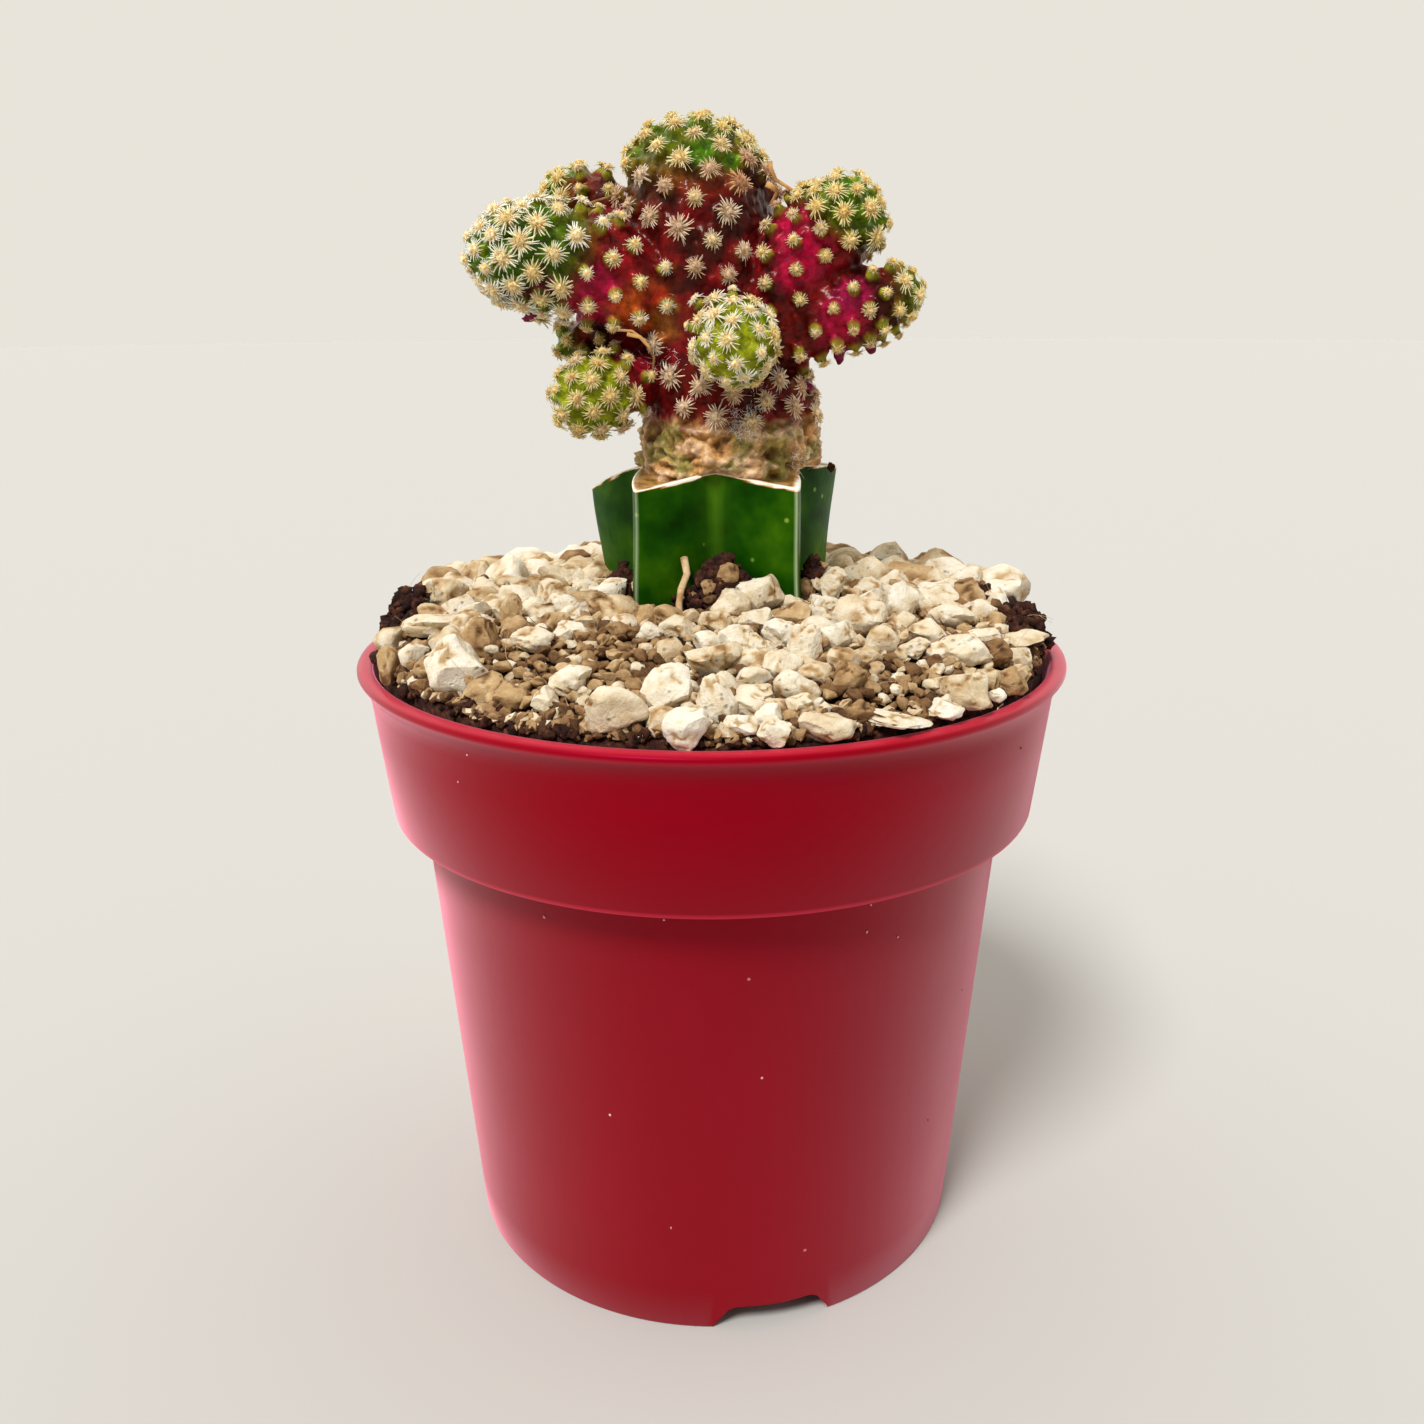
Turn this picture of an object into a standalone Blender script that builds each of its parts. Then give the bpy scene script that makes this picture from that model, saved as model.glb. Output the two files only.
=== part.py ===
# A clustering mammillaria grafted on a five-ribbed rootstock, in a red nursery pot.
# Metres, +Z up. The origin is the centre of the pot's foot, on the surface it stands on,
# and -Y is the side that faces the viewer.

import math
import random

import bmesh
import bpy
from mathutils import Matrix, Vector, geometry, noise

MM = 0.001
GAP = 0.3 * MM  # air left between pieces that touch
POT_SIDES = 42
MIX_SIDES = 36

# Pot: a thin moulded wall with a wide collar and a flared lip
RIM_RADIUS = 42.5 * MM
POT_HEIGHT = 75.0 * MM
LIP_HEIGHT = 1.6 * MM
COLLAR_TOP_RADIUS = 41.1 * MM
COLLAR_TOP_HEIGHT = 71.6 * MM
COLLAR_FOOT_RADIUS = 39.5 * MM
COLLAR_FOOT_HEIGHT = 56.8 * MM
BODY_TOP_RADIUS = 36.0 * MM
FOOT_RADIUS = 31.7 * MM
WALL = 1.0 * MM
FLOOR_UNDERSIDE = 3.6 * MM
FLOOR_TOP = 4.8 * MM
FOOT_RING = 1.4 * MM
EDGE = 0.4 * MM  # width of the small chamfers

# Water leaves through holes in the floor and notches in the foot
NOTCH_COUNT = 3
NOTCH_FIRST_DEG = 12.5
NOTCH_WIDTH_DEG = 25.0  # at the foot; the ends slope in to the narrower top
NOTCH_TOP_WIDTH_DEG = 18.0
NOTCH_HEIGHT = 3.0 * MM
DRAIN_COUNT = 6
DRAIN_RADIUS = 2.5 * MM
DRAIN_CIRCLE = 20.0 * MM
DRAIN_SIDES = 12

# Potting mix: a plateau heaped above the rim at the back and sides, sloping down to the front.
# The three values of each row hold for the front, the sides and the back.
MIX_TOP = 80.4 * MM
MIX_EDGE_RADIUS = 39.7 * MM
MIX_EDGE_HEIGHTS = (74.3 * MM, 75.7 * MM, 75.3 * MM)
MIX_SHARPNESS = (2.6, 15.0, 12.0)
MIX_INNER_RINGS = (12.0 * MM, 24.0 * MM)
CRUMB_SHARES = (0.75, 0.35)  # rings of crumbs, from the gravel's edge (0) to the mix's edge (1)
CRUMB_HEIGHT = 1.1 * MM
CRUMB_DENSITY = 420.0  # noise cycles in a metre

# Gravel: a bed of grit that ends in a wavy line, where the bare mix shows
BED_RADIUS = 38.9 * MM
BED_MARGIN = 0.5 * MM
BED_THICKNESS = 0.9 * MM
BARE_PATCHES = (
    # angle from -Y towards +X in degrees, width in degrees, depth
    (-6.0, 10.0, 1.9 * MM),
    (-49.0, 12.0, 2.6 * MM),
    (-97.0, 15.0, 3.0 * MM),
    (90.0, 13.0, 3.0 * MM),
    (160.0, 18.0, 2.6 * MM),
)

# Stones: the large ones in the photo, and random ones wherever one more fits
LANDMARK_STONES = (
    # x, y and size in millimetres
    (-25.5, -25.5, 6.8),
    (-9.5, -33.0, 6.2),
    (-4.2, -29.2, 5.2),
    (0.4, -33.4, 4.6),
    (2.6, -27.6, 4.8),
    (-1.5, -22.0, 5.6),
    (10.0, -20.5, 4.8),
    (15.5, -16.0, 5.6),
    (20.5, -12.0, 5.2),
    (25.5, -27.0, 6.0),
    (12.5, -34.6, 5.0),
    (-30.8, -15.5, 5.6),
)
GRIT_PATCHES = (
    # x, y and radius in millimetres: here the bed is fine grit
    (-14.0, -23.0, 6.5),
    (20.0, -21.0, 4.5),
    (-6.0, -15.5, 4.5),
)
STONE_SIZES = (5.4 * MM, 3.2 * MM)  # the largest random stone, and the smallest
STONE_TRIES = 5000
STONE_SEED = 12
STONE_SHOULDER = 0.74  # radius of a stone's top, as a share of its foot's
STONE_RISE = 0.42  # height, as a share of its size
STONE_TOP_TILT = 0.28  # steepest slope of a stone's top
STONE_BULGE = 0.22  # how far the top's middle stands over its corners, as a share of its height

# Rootstock: rib angles are measured from -Y towards +X, in degrees
STOCK_CENTRE = (0.6 * MM, 2.4 * MM)
STOCK_VALLEY_RADIUS = 9.2 * MM
STOCK_TOP = 96.4 * MM
STOCK_RIB_WIDTH = 1.1 * MM  # of the flat edge
STOCK_FLANK = (0.27, 0.30)  # the flank's middle: share of the way round, and out to the edge
STOCK_CUT_SHOULDER = 0.7  # height of the cut there, from the rib's edge to the middle
STOCK_RIBS = (
    # angle, radius at the cut top, radius at the gravel, height of the cut edge
    (-34.0, 16.1 * MM, 16.2 * MM, 94.9 * MM),
    (33.0, 16.1 * MM, 17.0 * MM, 95.1 * MM),
    (109.0, 15.7 * MM, 14.3 * MM, 95.4 * MM),
    (182.0, 15.8 * MM, 15.0 * MM, 95.0 * MM),
    (-106.0, 15.8 * MM, 14.2 * MM, 92.9 * MM),
)
STOCK_LEVELS = (
    # share from the cut top to the gravel, height (None on the cut), share to the buried end
    (0.0, None, 0.0),
    (0.45, 90.0 * MM, 0.0),
    (1.0, 83.0 * MM, 0.0),
    (1.0, 75.0 * MM, 0.25),
    (1.0, 60.0 * MM, 1.0),
)
STOCK_END = 58.0 * MM
STOCK_END_RADIUS = 6.0 * MM
ROOT_COUNT = 5
ROOT_LENGTH = 17.0 * MM
ROOT_DROP = 15.3 * MM
ROOT_RADIUS = 1.1 * MM
ROOT_TAPER = 0.7
ROOT_SIDES = 5
ROOT_STEPS = 4

# Heads: each is a body swept along a curved axis. Its stations run from the root to the tip
# and give x, y, z and the skin's radius in millimetres, without the tubercles.
MAIN_HEAD = "main_head"
HEADS = {
    "left_head": (
        (-6.0, -0.5, 116.2, 5.6),
        (-11.8, -3.0, 118.2, 5.2),
        (-16.8, -5.2, 119.6, 4.8),
        (-21.3, -6.8, 119.9, 3.9),
        (-25.3, -7.8, 120.1, 0.0),
    ),
    "left_bud": (
        (-6.5, 1.0, 112.5, 3.4),
        (-11.2, 1.0, 111.6, 2.8),
        (-14.2, 1.0, 111.0, 2.2),
        (-17.2, 1.0, 110.4, 0.0),
    ),
    "rear_left_head": (
        (-7.0, 3.6, 121.0, 3.2),
        (-11.6, 6.4, 125.0, 3.2),
        (-15.2, 8.2, 126.3, 2.8),
        (-19.2, 9.8, 127.3, 0.0),
    ),
    "upper_right_head": (
        (6.0, -0.2, 114.0, 6.2),
        (10.0, -1.4, 118.4, 5.8),
        (13.0, -2.4, 121.8, 5.0),
        (14.6, -3.0, 124.2, 4.0),
        (15.4, -3.3, 127.2, 0.0),
    ),
    "right_head": (
        (7.0, -1.6, 111.4, 4.4),
        (12.0, -3.0, 113.6, 4.0),
        (16.2, -4.2, 114.8, 3.7),
        (19.6, -5.0, 115.4, 3.0),
        (22.6, -5.5, 115.7, 0.0),
    ),
    "front_head": (
        (0.9, -5.0, 112.6, 3.2),
        (2.0, -9.4, 111.6, 3.7),
        (2.8, -13.0, 110.6, 3.7),
        (3.4, -17.3, 109.9, 0.0),
    ),
    "lower_left_head": (
        (-6.0, -1.2, 107.2, 2.8),
        (-10.6, -4.4, 105.8, 3.2),
        (-13.4, -7.0, 104.9, 3.2),
        (-16.2, -9.8, 104.2, 0.0),
    ),
    "rear_head": (
        (2.4, 8.0, 115.6, 2.6),
        (3.6, 13.0, 117.4, 3.6),
        (4.6, 17.2, 119.4, 3.8),
        (5.6, 21.8, 121.6, 0.0),
    ),
    "rear_right_head": (
        (4.4, 6.4, 107.4, 2.4),
        (6.2, 10.4, 107.0, 3.2),
        (7.4, 14.0, 106.8, 3.3),
        (8.4, 18.0, 106.8, 0.0),
    ),
    MAIN_HEAD: (
        (2.2, 2.0, 92.0, 10.4),
        (2.2, 2.0, 98.4, 10.8),
        (1.5, 2.0, 104.6, 9.3),
        (0.5, 2.0, 112.0, 9.2),
        (-0.7, 2.1, 118.0, 8.9),
        (-1.3, 2.3, 123.6, 8.6),
        (-1.9, 2.7, 128.4, 7.4),
        (-2.1, 3.0, 131.6, 5.2),
        (-2.2, 3.2, 134.0, 0.0),
    ),
}
AXIS_STEPS = 60  # samples between two stations
DISTANCE_STEP = 6  # every how many samples a distance is measured
CUTTER_SIDES = 24
CUTTER_STEPS = 3  # rings of a cutter between two stations
SCION_BASE = 96.2 * MM
CORKY_BELOW = 101.8 * MM  # the main head's neck is rough cork without tubercles
CORK_ROUGHNESS = 0.9 * MM
CORK_DENSITY = 900.0  # noise cycles in a metre

# Tubercle: a small cone with a star of spines on its tip
HEAD_SPACING = 3.25 * MM  # between neighbouring tubercles on a green head
MAIN_SPACING = 3.75 * MM
TUBERCLE_HEIGHT = 0.95 * MM
AREOLE_RADIUS = 0.5 * MM
SPINE_REACH = 1.5 * MM
SPINE_RISE = 0.22 * MM
CROWN_RISE = 0.45 * MM
HEAD_CLEARANCE = 1.7 * MM  # from a spine star's centre to another head's skin
STAR_CLEARANCE = 3.0 * MM  # between the centres of stars on two heads
GOLDEN_ANGLE = math.pi * (3 - math.sqrt(5))


def clear_scene():
    for obj in list(bpy.data.objects):
        bpy.data.objects.remove(obj, do_unlink=True)


def make_material(name, colour, roughness, metallic=0.0):
    made = bpy.data.materials.new(name)
    made.use_nodes = True
    shader = made.node_tree.nodes["Principled BSDF"]
    shader.inputs["Base Color"].default_value = (*colour, 1.0)
    shader.inputs["Roughness"].default_value = roughness
    shader.inputs["Metallic"].default_value = metallic
    return made


def add_object(name, bm, made_of=None, smooth_deg=None):
    """Turns a bmesh into a linked object, shaded smooth below the given edge angle."""
    mesh = bpy.data.meshes.new(name)
    bm.to_mesh(mesh)
    bm.free()
    if made_of is not None:
        mesh.materials.append(made_of)
    if smooth_deg is not None:
        mesh.shade_smooth()
        mesh.set_sharp_from_angle(angle=math.radians(smooth_deg))
    obj = bpy.data.objects.new(name, mesh)
    bpy.context.scene.collection.objects.link(obj)
    return obj


def apply_boolean(obj, others, operation, solver="EXACT"):
    """Joins the others to the object, or cuts them from it, and removes them."""
    group = bpy.data.collections.new(obj.name + "_" + operation.lower())
    bpy.context.scene.collection.children.link(group)
    for other in others:
        group.objects.link(other)
    step = obj.modifiers.new(operation.lower(), "BOOLEAN")
    step.operation = operation
    step.operand_type = "COLLECTION"
    step.collection = group
    step.solver = solver
    graph = bpy.context.evaluated_depsgraph_get()
    made = bpy.data.meshes.new_from_object(obj.evaluated_get(graph))
    obj.modifiers.clear()
    obj.data = made
    for other in others:
        bpy.data.objects.remove(other, do_unlink=True)
    bpy.data.collections.remove(group)
    return obj


def turned(profile, sides):
    """A closed solid turned round Z from (radius, height) pairs, first and last on the axis."""
    bm = bmesh.new()
    points = [bm.verts.new((radius, 0.0, height)) for radius, height in profile]
    edges = [bm.edges.new(pair) for pair in zip(points, points[1:])]
    bmesh.ops.spin(
        bm,
        geom=points + edges,
        cent=(0, 0, 0),
        axis=(0, 0, 1),
        angle=math.tau,
        steps=sides,
        use_merge=True,
    )
    bmesh.ops.remove_doubles(bm, verts=bm.verts, dist=1e-6)
    bmesh.ops.recalc_face_normals(bm, faces=bm.faces)
    return bm


def bridge(bm, lower, upper):
    count = len(lower)
    for i in range(count):
        j = (i + 1) % count
        bm.faces.new((lower[i], lower[j], upper[j]))
        bm.faces.new((lower[i], upper[j], upper[i]))


def close_with(bm, ring, spot):
    pole = bm.verts.new(spot)
    for i in range(len(ring)):
        bm.faces.new((ring[i], ring[(i + 1) % len(ring)], pole))


# Pot


def body_radius(height):
    """Outer radius of the pot's body below the collar."""
    share = height / COLLAR_FOOT_HEIGHT
    return FOOT_RADIUS + (BODY_TOP_RADIUS - FOOT_RADIUS) * share


def inner_wall():
    """(radius, height) pairs down the inside of the pot, from the lip to the floor."""
    ledge = COLLAR_FOOT_HEIGHT + WALL
    return [
        (RIM_RADIUS - 2 * WALL, POT_HEIGHT - EDGE),
        (COLLAR_TOP_RADIUS - WALL, COLLAR_TOP_HEIGHT),
        (COLLAR_FOOT_RADIUS - WALL, ledge),
        (body_radius(ledge) - WALL, ledge),
        (body_radius(FLOOR_TOP) - WALL, FLOOR_TOP),
    ]


def foot_notch(index):
    """A wedge with sloping ends that cuts one drainage notch through the foot ring."""
    middle = math.radians(NOTCH_FIRST_DEG + index * 360 / NOTCH_COUNT)
    half_wide = math.radians(NOTCH_WIDTH_DEG / 2)
    half_narrow = math.radians(NOTCH_TOP_WIDTH_DEG / 2)
    inner, outer = FOOT_RADIUS - 4 * FOOT_RING, FOOT_RADIUS + 2 * FOOT_RING
    bm = bmesh.new()
    rings = []
    below = half_wide + (half_wide - half_narrow) * WALL / NOTCH_HEIGHT
    for height, half in ((-WALL, below), (NOTCH_HEIGHT, half_narrow)):
        corners = ((inner, -half), (outer, -half), (outer, half), (inner, half))
        ring = []
        for radius, turn in corners:
            angle = middle + turn
            spot = (radius * math.sin(angle), -radius * math.cos(angle), height)
            ring.append(bm.verts.new(spot))
        rings.append(ring)
    low, high = rings
    bm.faces.new(reversed(low))
    bm.faces.new(high)
    for i in range(4):
        j = (i + 1) % 4
        bm.faces.new((low[i], low[j], high[j], high[i]))
    bmesh.ops.recalc_face_normals(bm, faces=bm.faces)
    return add_object(f"notch_cutter_{index}", bm)


def drain_hole(index):
    angle = index * math.tau / DRAIN_COUNT
    middle = Vector((math.sin(angle), -math.cos(angle), 0)) * DRAIN_CIRCLE
    middle.z = (FLOOR_TOP + FLOOR_UNDERSIDE) / 2
    bm = bmesh.new()
    bmesh.ops.create_cone(
        bm,
        cap_ends=True,
        segments=DRAIN_SIDES,
        radius1=DRAIN_RADIUS,
        radius2=DRAIN_RADIUS,
        depth=4 * WALL,
        matrix=Matrix.Translation(middle),
    )
    return add_object(f"drain_cutter_{index}", bm)


def make_pot(plastic):
    outside = [
        (0, FLOOR_UNDERSIDE),
        (FOOT_RADIUS - FOOT_RING, FLOOR_UNDERSIDE),
        (FOOT_RADIUS - FOOT_RING, 0),
        (FOOT_RADIUS - EDGE / 2, 0),
        (body_radius(EDGE), EDGE),
        (BODY_TOP_RADIUS, COLLAR_FOOT_HEIGHT),
        (COLLAR_FOOT_RADIUS - EDGE / 2, COLLAR_FOOT_HEIGHT),
        (COLLAR_FOOT_RADIUS, COLLAR_FOOT_HEIGHT + EDGE),
        (COLLAR_TOP_RADIUS, COLLAR_TOP_HEIGHT),
        (RIM_RADIUS, POT_HEIGHT - LIP_HEIGHT),
        (RIM_RADIUS, POT_HEIGHT - EDGE),
        (RIM_RADIUS - EDGE, POT_HEIGHT),
        (RIM_RADIUS - 2 * WALL + EDGE, POT_HEIGHT),
    ]
    pot = add_object("pot", turned(outside + inner_wall() + [(0, FLOOR_TOP)], POT_SIDES), plastic)
    cutters = [foot_notch(i) for i in range(NOTCH_COUNT)]
    cutters += [drain_hole(i) for i in range(DRAIN_COUNT)]
    apply_boolean(pot, cutters, "DIFFERENCE")
    pot.data.shade_smooth()
    pot.data.set_sharp_from_angle(angle=math.radians(30))


# Potting mix and gravel


def around_pot(values, angle):
    """Blends the values for the front, the sides and the back at an angle from -Y."""
    front, sides, back = values
    ahead = math.cos(angle)
    return sides + (front - sides) * max(ahead, 0) + (back - sides) * max(-ahead, 0)


def mix_height(x, y):
    """Height of the potting mix without its crumbs."""
    angle = math.atan2(x, -y)
    edge = around_pot(MIX_EDGE_HEIGHTS, angle)
    share = min(math.hypot(x, y) / MIX_EDGE_RADIUS, 1.0)
    return edge + (MIX_TOP - edge) * (1 - share ** around_pot(MIX_SHARPNESS, angle))


def bed_radius(angle):
    """Where the gravel ends at an angle from -Y."""
    radius = BED_RADIUS
    for middle, width, depth in BARE_PATCHES:
        away = (math.degrees(angle) - middle + 180) % 360 - 180
        radius -= depth * math.exp(-((away / width) ** 2))
    return radius


def ring_spots(radius_at, height_at):
    """One point for each side of the mix, at its own radius and height."""
    spots = []
    for i in range(MIX_SIDES):
        angle = i * math.tau / MIX_SIDES
        radius = radius_at(angle)
        x, y = radius * math.sin(angle), -radius * math.cos(angle)
        spots.append(Vector((x, y, height_at(x, y))))
    return spots


def bed_rings(margin, lift):
    """The rings of the surface between the mix and the gravel, from the edge inwards."""
    rings = [ring_spots(lambda angle: bed_radius(angle) - margin, mix_height)]
    for radius in reversed(MIX_INNER_RINGS):
        rings.append(ring_spots(lambda angle: radius, mix_height))
    for ring in rings:
        for spot in ring:
            spot.z += lift
    return rings


def crumbled(x, y):
    lump = abs(noise.noise(Vector((x, y, 0)) * CRUMB_DENSITY))
    return mix_height(x, y) + CRUMB_HEIGHT * (2 * lump - 0.2)


def make_mix(peat):
    """The plug of potting mix, a gap clear of the pot on every side."""
    rings = []
    for radius, height in reversed(inner_wall()):
        clear = radius - GAP
        rings.append(ring_spots(lambda angle: clear, lambda x, y: height + GAP))
    rings.pop()
    edge = MIX_EDGE_RADIUS
    rings.append(ring_spots(lambda angle: edge, mix_height))
    for share in CRUMB_SHARES:
        rings.append(
            ring_spots(lambda angle: bed_radius(angle) * (1 - share) + edge * share, crumbled)
        )
    rings += bed_rings(0, 0)
    bm = bmesh.new()
    loops = [[bm.verts.new(spot) for spot in ring] for ring in rings]
    for lower, upper in zip(loops, loops[1:]):
        bridge(bm, lower, upper)
    close_with(bm, loops[0], (0, 0, FLOOR_TOP + GAP))
    close_with(bm, loops[-1], (0, 0, MIX_TOP))
    bmesh.ops.recalc_face_normals(bm, faces=bm.faces)
    return add_object("potting_mix", bm, peat, 40)


def stone_spots(chance):
    """Landmark stones first, then random ones wherever one more fits, the largest first."""
    spots = [(Vector((x, y)) * MM, size * MM) for x, y, size in LANDMARK_STONES]
    largest, smallest = STONE_SIZES
    for i in range(STONE_TRIES):
        size = largest + (smallest - largest) * i / STONE_TRIES
        angle = chance.uniform(-math.pi, math.pi)
        radius = (bed_radius(angle) - BED_MARGIN - size * 0.6) * math.sqrt(chance.random())
        spot = Vector((math.sin(angle), -math.cos(angle))) * radius
        near = ((spot - other).length - (size + width) * 0.5 for other, width in spots)
        if min(near) > 0:
            spots.append((spot, size))
    return spots


def is_grit(spot):
    """Whether the bed is fine grit here, or under the rootstock."""
    for x, y, radius in GRIT_PATCHES:
        if (spot - Vector((x, y)) * MM).length < radius * MM:
            return True
    return (spot - Vector(STOCK_CENTRE)).length < STOCK_VALLEY_RADIUS


def raise_stone(bm, spot, size, around, chance):
    """An angular stone up from the valleys round it, with a tilted top."""
    foot = mix_height(*spot) + GAP + BED_THICKNESS
    height = size * STONE_RISE * chance.uniform(0.7, 1.2)
    tilt = Vector([chance.uniform(-STONE_TOP_TILT, STONE_TOP_TILT) for _ in range(2)])
    shoulders = []
    for valley in around:
        away = (valley.co.xy - spot) * STONE_SHOULDER * chance.uniform(0.85, 1.12)
        level = foot + height * (1 - STONE_BULGE) + away.dot(tilt)
        shoulders.append(bm.verts.new((*(spot + away), level)))
    crown = bm.verts.new((*spot, foot + height))
    bridge(bm, around, shoulders)
    for i, shoulder in enumerate(shoulders):
        bm.faces.new((shoulder, shoulders[(i + 1) % len(shoulders)], crown))


def gravel_bed(chance):
    """Grit and stones in one skin over the bed, closed by an underside that fits the mix."""
    under = bed_rings(BED_MARGIN, GAP)
    spots = stone_spots(chance)
    flats = [spot.xy for spot in under[0]] + [spot for spot, _ in spots]
    border = len(under[0])
    triangles = geometry.delaunay_2d_cdt(flats, [], [list(range(border))], 1, 0.0)[2]
    bm = bmesh.new()
    loops = [[bm.verts.new(spot) for spot in ring] for ring in under]
    for lower, upper in zip(loops, loops[1:]):
        bridge(bm, lower, upper)
    close_with(bm, loops[-1], (0, 0, MIX_TOP + GAP))
    rim = [bm.verts.new(vertex.co + Vector((0, 0, BED_THICKNESS / 2))) for vertex in loops[0]]
    bridge(bm, loops[0], rim)
    rings = [[] for _ in flats]
    for triangle in triangles:
        weights = [1 / spots[i - border][1] if i >= border else 2 / STONE_SIZES[1] for i in triangle]
        middle = Vector((0, 0))
        for i, weight in zip(triangle, weights):
            middle += flats[i] * (weight / sum(weights))
        valley = bm.verts.new((*middle, mix_height(*middle) + GAP + BED_THICKNESS))
        for k, i in enumerate(triangle):
            rings[i].append(valley)
            following = triangle[(k + 1) % 3]
            if i < border and following < border and (i - following) % border in (1, border - 1):
                bm.faces.new((rim[i], rim[following], valley))
    for i, ring in enumerate(rings):
        towards = [valley.co.xy - flats[i] for valley in ring]
        turns = [math.atan2(away.y, away.x) for away in towards]
        if i < border:
            inward = math.atan2(-flats[i].y, -flats[i].x)
            turns = [(turn - inward + math.pi) % math.tau for turn in turns]
        around = [valley for _, valley in sorted(zip(turns, ring), key=lambda pair: pair[0])]
        if i < border:
            for first, second in zip(around, around[1:]):
                bm.faces.new((first, second, rim[i]))
        elif is_grit(flats[i]):
            close_with(bm, around, (*flats[i], mix_height(*flats[i]) + GAP + BED_THICKNESS))
        else:
            raise_stone(bm, flats[i], spots[i - border][1], around, chance)
    bmesh.ops.recalc_face_normals(bm, faces=bm.faces)
    return bm


def make_gravel(grit, stock_hole):
    chance = random.Random(STONE_SEED)
    gravel = add_object("gravel", gravel_bed(chance), grit)
    return apply_boolean(gravel, [stock_hole], "DIFFERENCE", "MANIFOLD")


# Rootstock


def stock_ring(bm, blend, height, end_share, grow):
    """One star-shaped section, at one row of STOCK_LEVELS."""
    ring = []
    count = len(STOCK_RIBS)
    order = sorted(STOCK_RIBS)
    for i, (angle, top_radius, foot_radius, cut_height) in enumerate(order):
        following = order[(i + 1) % count][0] + (360 if i + 1 == count else 0)
        tip = top_radius + (foot_radius - top_radius) * blend
        tip += (STOCK_END_RADIUS - tip) * end_share + grow
        valley = STOCK_VALLEY_RADIUS * (1 - end_share) + STOCK_END_RADIUS * end_share
        valley += grow
        half = math.degrees((STOCK_RIB_WIDTH / 2 + grow) / tip)
        step = following - angle
        flank, outward = STOCK_FLANK
        shoulder = valley + (tip - valley) * outward
        section = (
            (angle - half, tip, 0.0),
            (angle + half, tip, 0.0),
            (angle + step * flank, shoulder, STOCK_CUT_SHOULDER),
            (angle + step * 0.5, valley, 1.0),
            (angle + step * (1 - flank), shoulder, STOCK_CUT_SHOULDER),
        )
        next_cut = order[(i + 1) % count][3]
        for turn, radius, inward in section:
            edge = cut_height if turn < angle + step * 0.5 else next_cut
            z = edge + (STOCK_TOP - edge) * inward if height is None else height
            if height is None:
                z += grow
            side = math.radians(turn)
            x = STOCK_CENTRE[0] + radius * math.sin(side)
            y = STOCK_CENTRE[1] - radius * math.cos(side)
            ring.append(bm.verts.new((x, y, z)))
    return ring


def stock_stem(grow):
    bm = bmesh.new()
    rings = [stock_ring(bm, *level, grow) for level in STOCK_LEVELS]
    for upper, lower in zip(rings, rings[1:]):
        bridge(bm, lower, upper)
    close_with(bm, rings[0], (*STOCK_CENTRE, STOCK_TOP + grow))
    close_with(bm, rings[-1], (*STOCK_CENTRE, STOCK_END - grow))
    bmesh.ops.recalc_face_normals(bm, faces=bm.faces)
    return bm


def root(index, grow):
    """A tapering root that leaves the buried end of the stem and bends down."""
    turn = index * math.tau / ROOT_COUNT
    outward = Vector((math.cos(turn), math.sin(turn), 0))
    side = Vector((math.sin(turn), -math.cos(turn), 0))
    start = Vector((*STOCK_CENTRE, STOCK_END + 4 * MM)) + outward * (STOCK_END_RADIUS / 2)
    bm = bmesh.new()
    rings = []
    for step in range(ROOT_STEPS + 1):
        share = step / ROOT_STEPS
        spot = start + outward * ROOT_LENGTH * share
        spot.z -= ROOT_DROP * share**2
        steep = math.atan(2 * share * ROOT_DROP / ROOT_LENGTH)
        ahead = outward * math.cos(steep) - Vector((0, 0, math.sin(steep)))
        up = side.cross(ahead)
        radius = ROOT_RADIUS * (1 - ROOT_TAPER * share) + grow
        ring = []
        for k in range(ROOT_SIDES):
            angle = k * math.tau / ROOT_SIDES
            around = side * math.cos(angle) + up * math.sin(angle)
            ring.append(bm.verts.new(spot + around * radius))
        rings.append(ring)
    for first, second in zip(rings, rings[1:]):
        bridge(bm, first, second)
    bm.faces.new(reversed(rings[0]))
    close_with(bm, rings[-1], spot + ahead * (2 * grow + ROOT_RADIUS / 2))
    bmesh.ops.recalc_face_normals(bm, faces=bm.faces)
    return add_object(f"root_{index}", bm)


def make_rootstock(name, flesh=None, grow=0.0):
    stock = add_object(name, stock_stem(grow), flesh)
    roots = [root(i, grow) for i in range(ROOT_COUNT)]
    return apply_boolean(stock, roots, "UNION", "MANIFOLD")


# Scion


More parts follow.
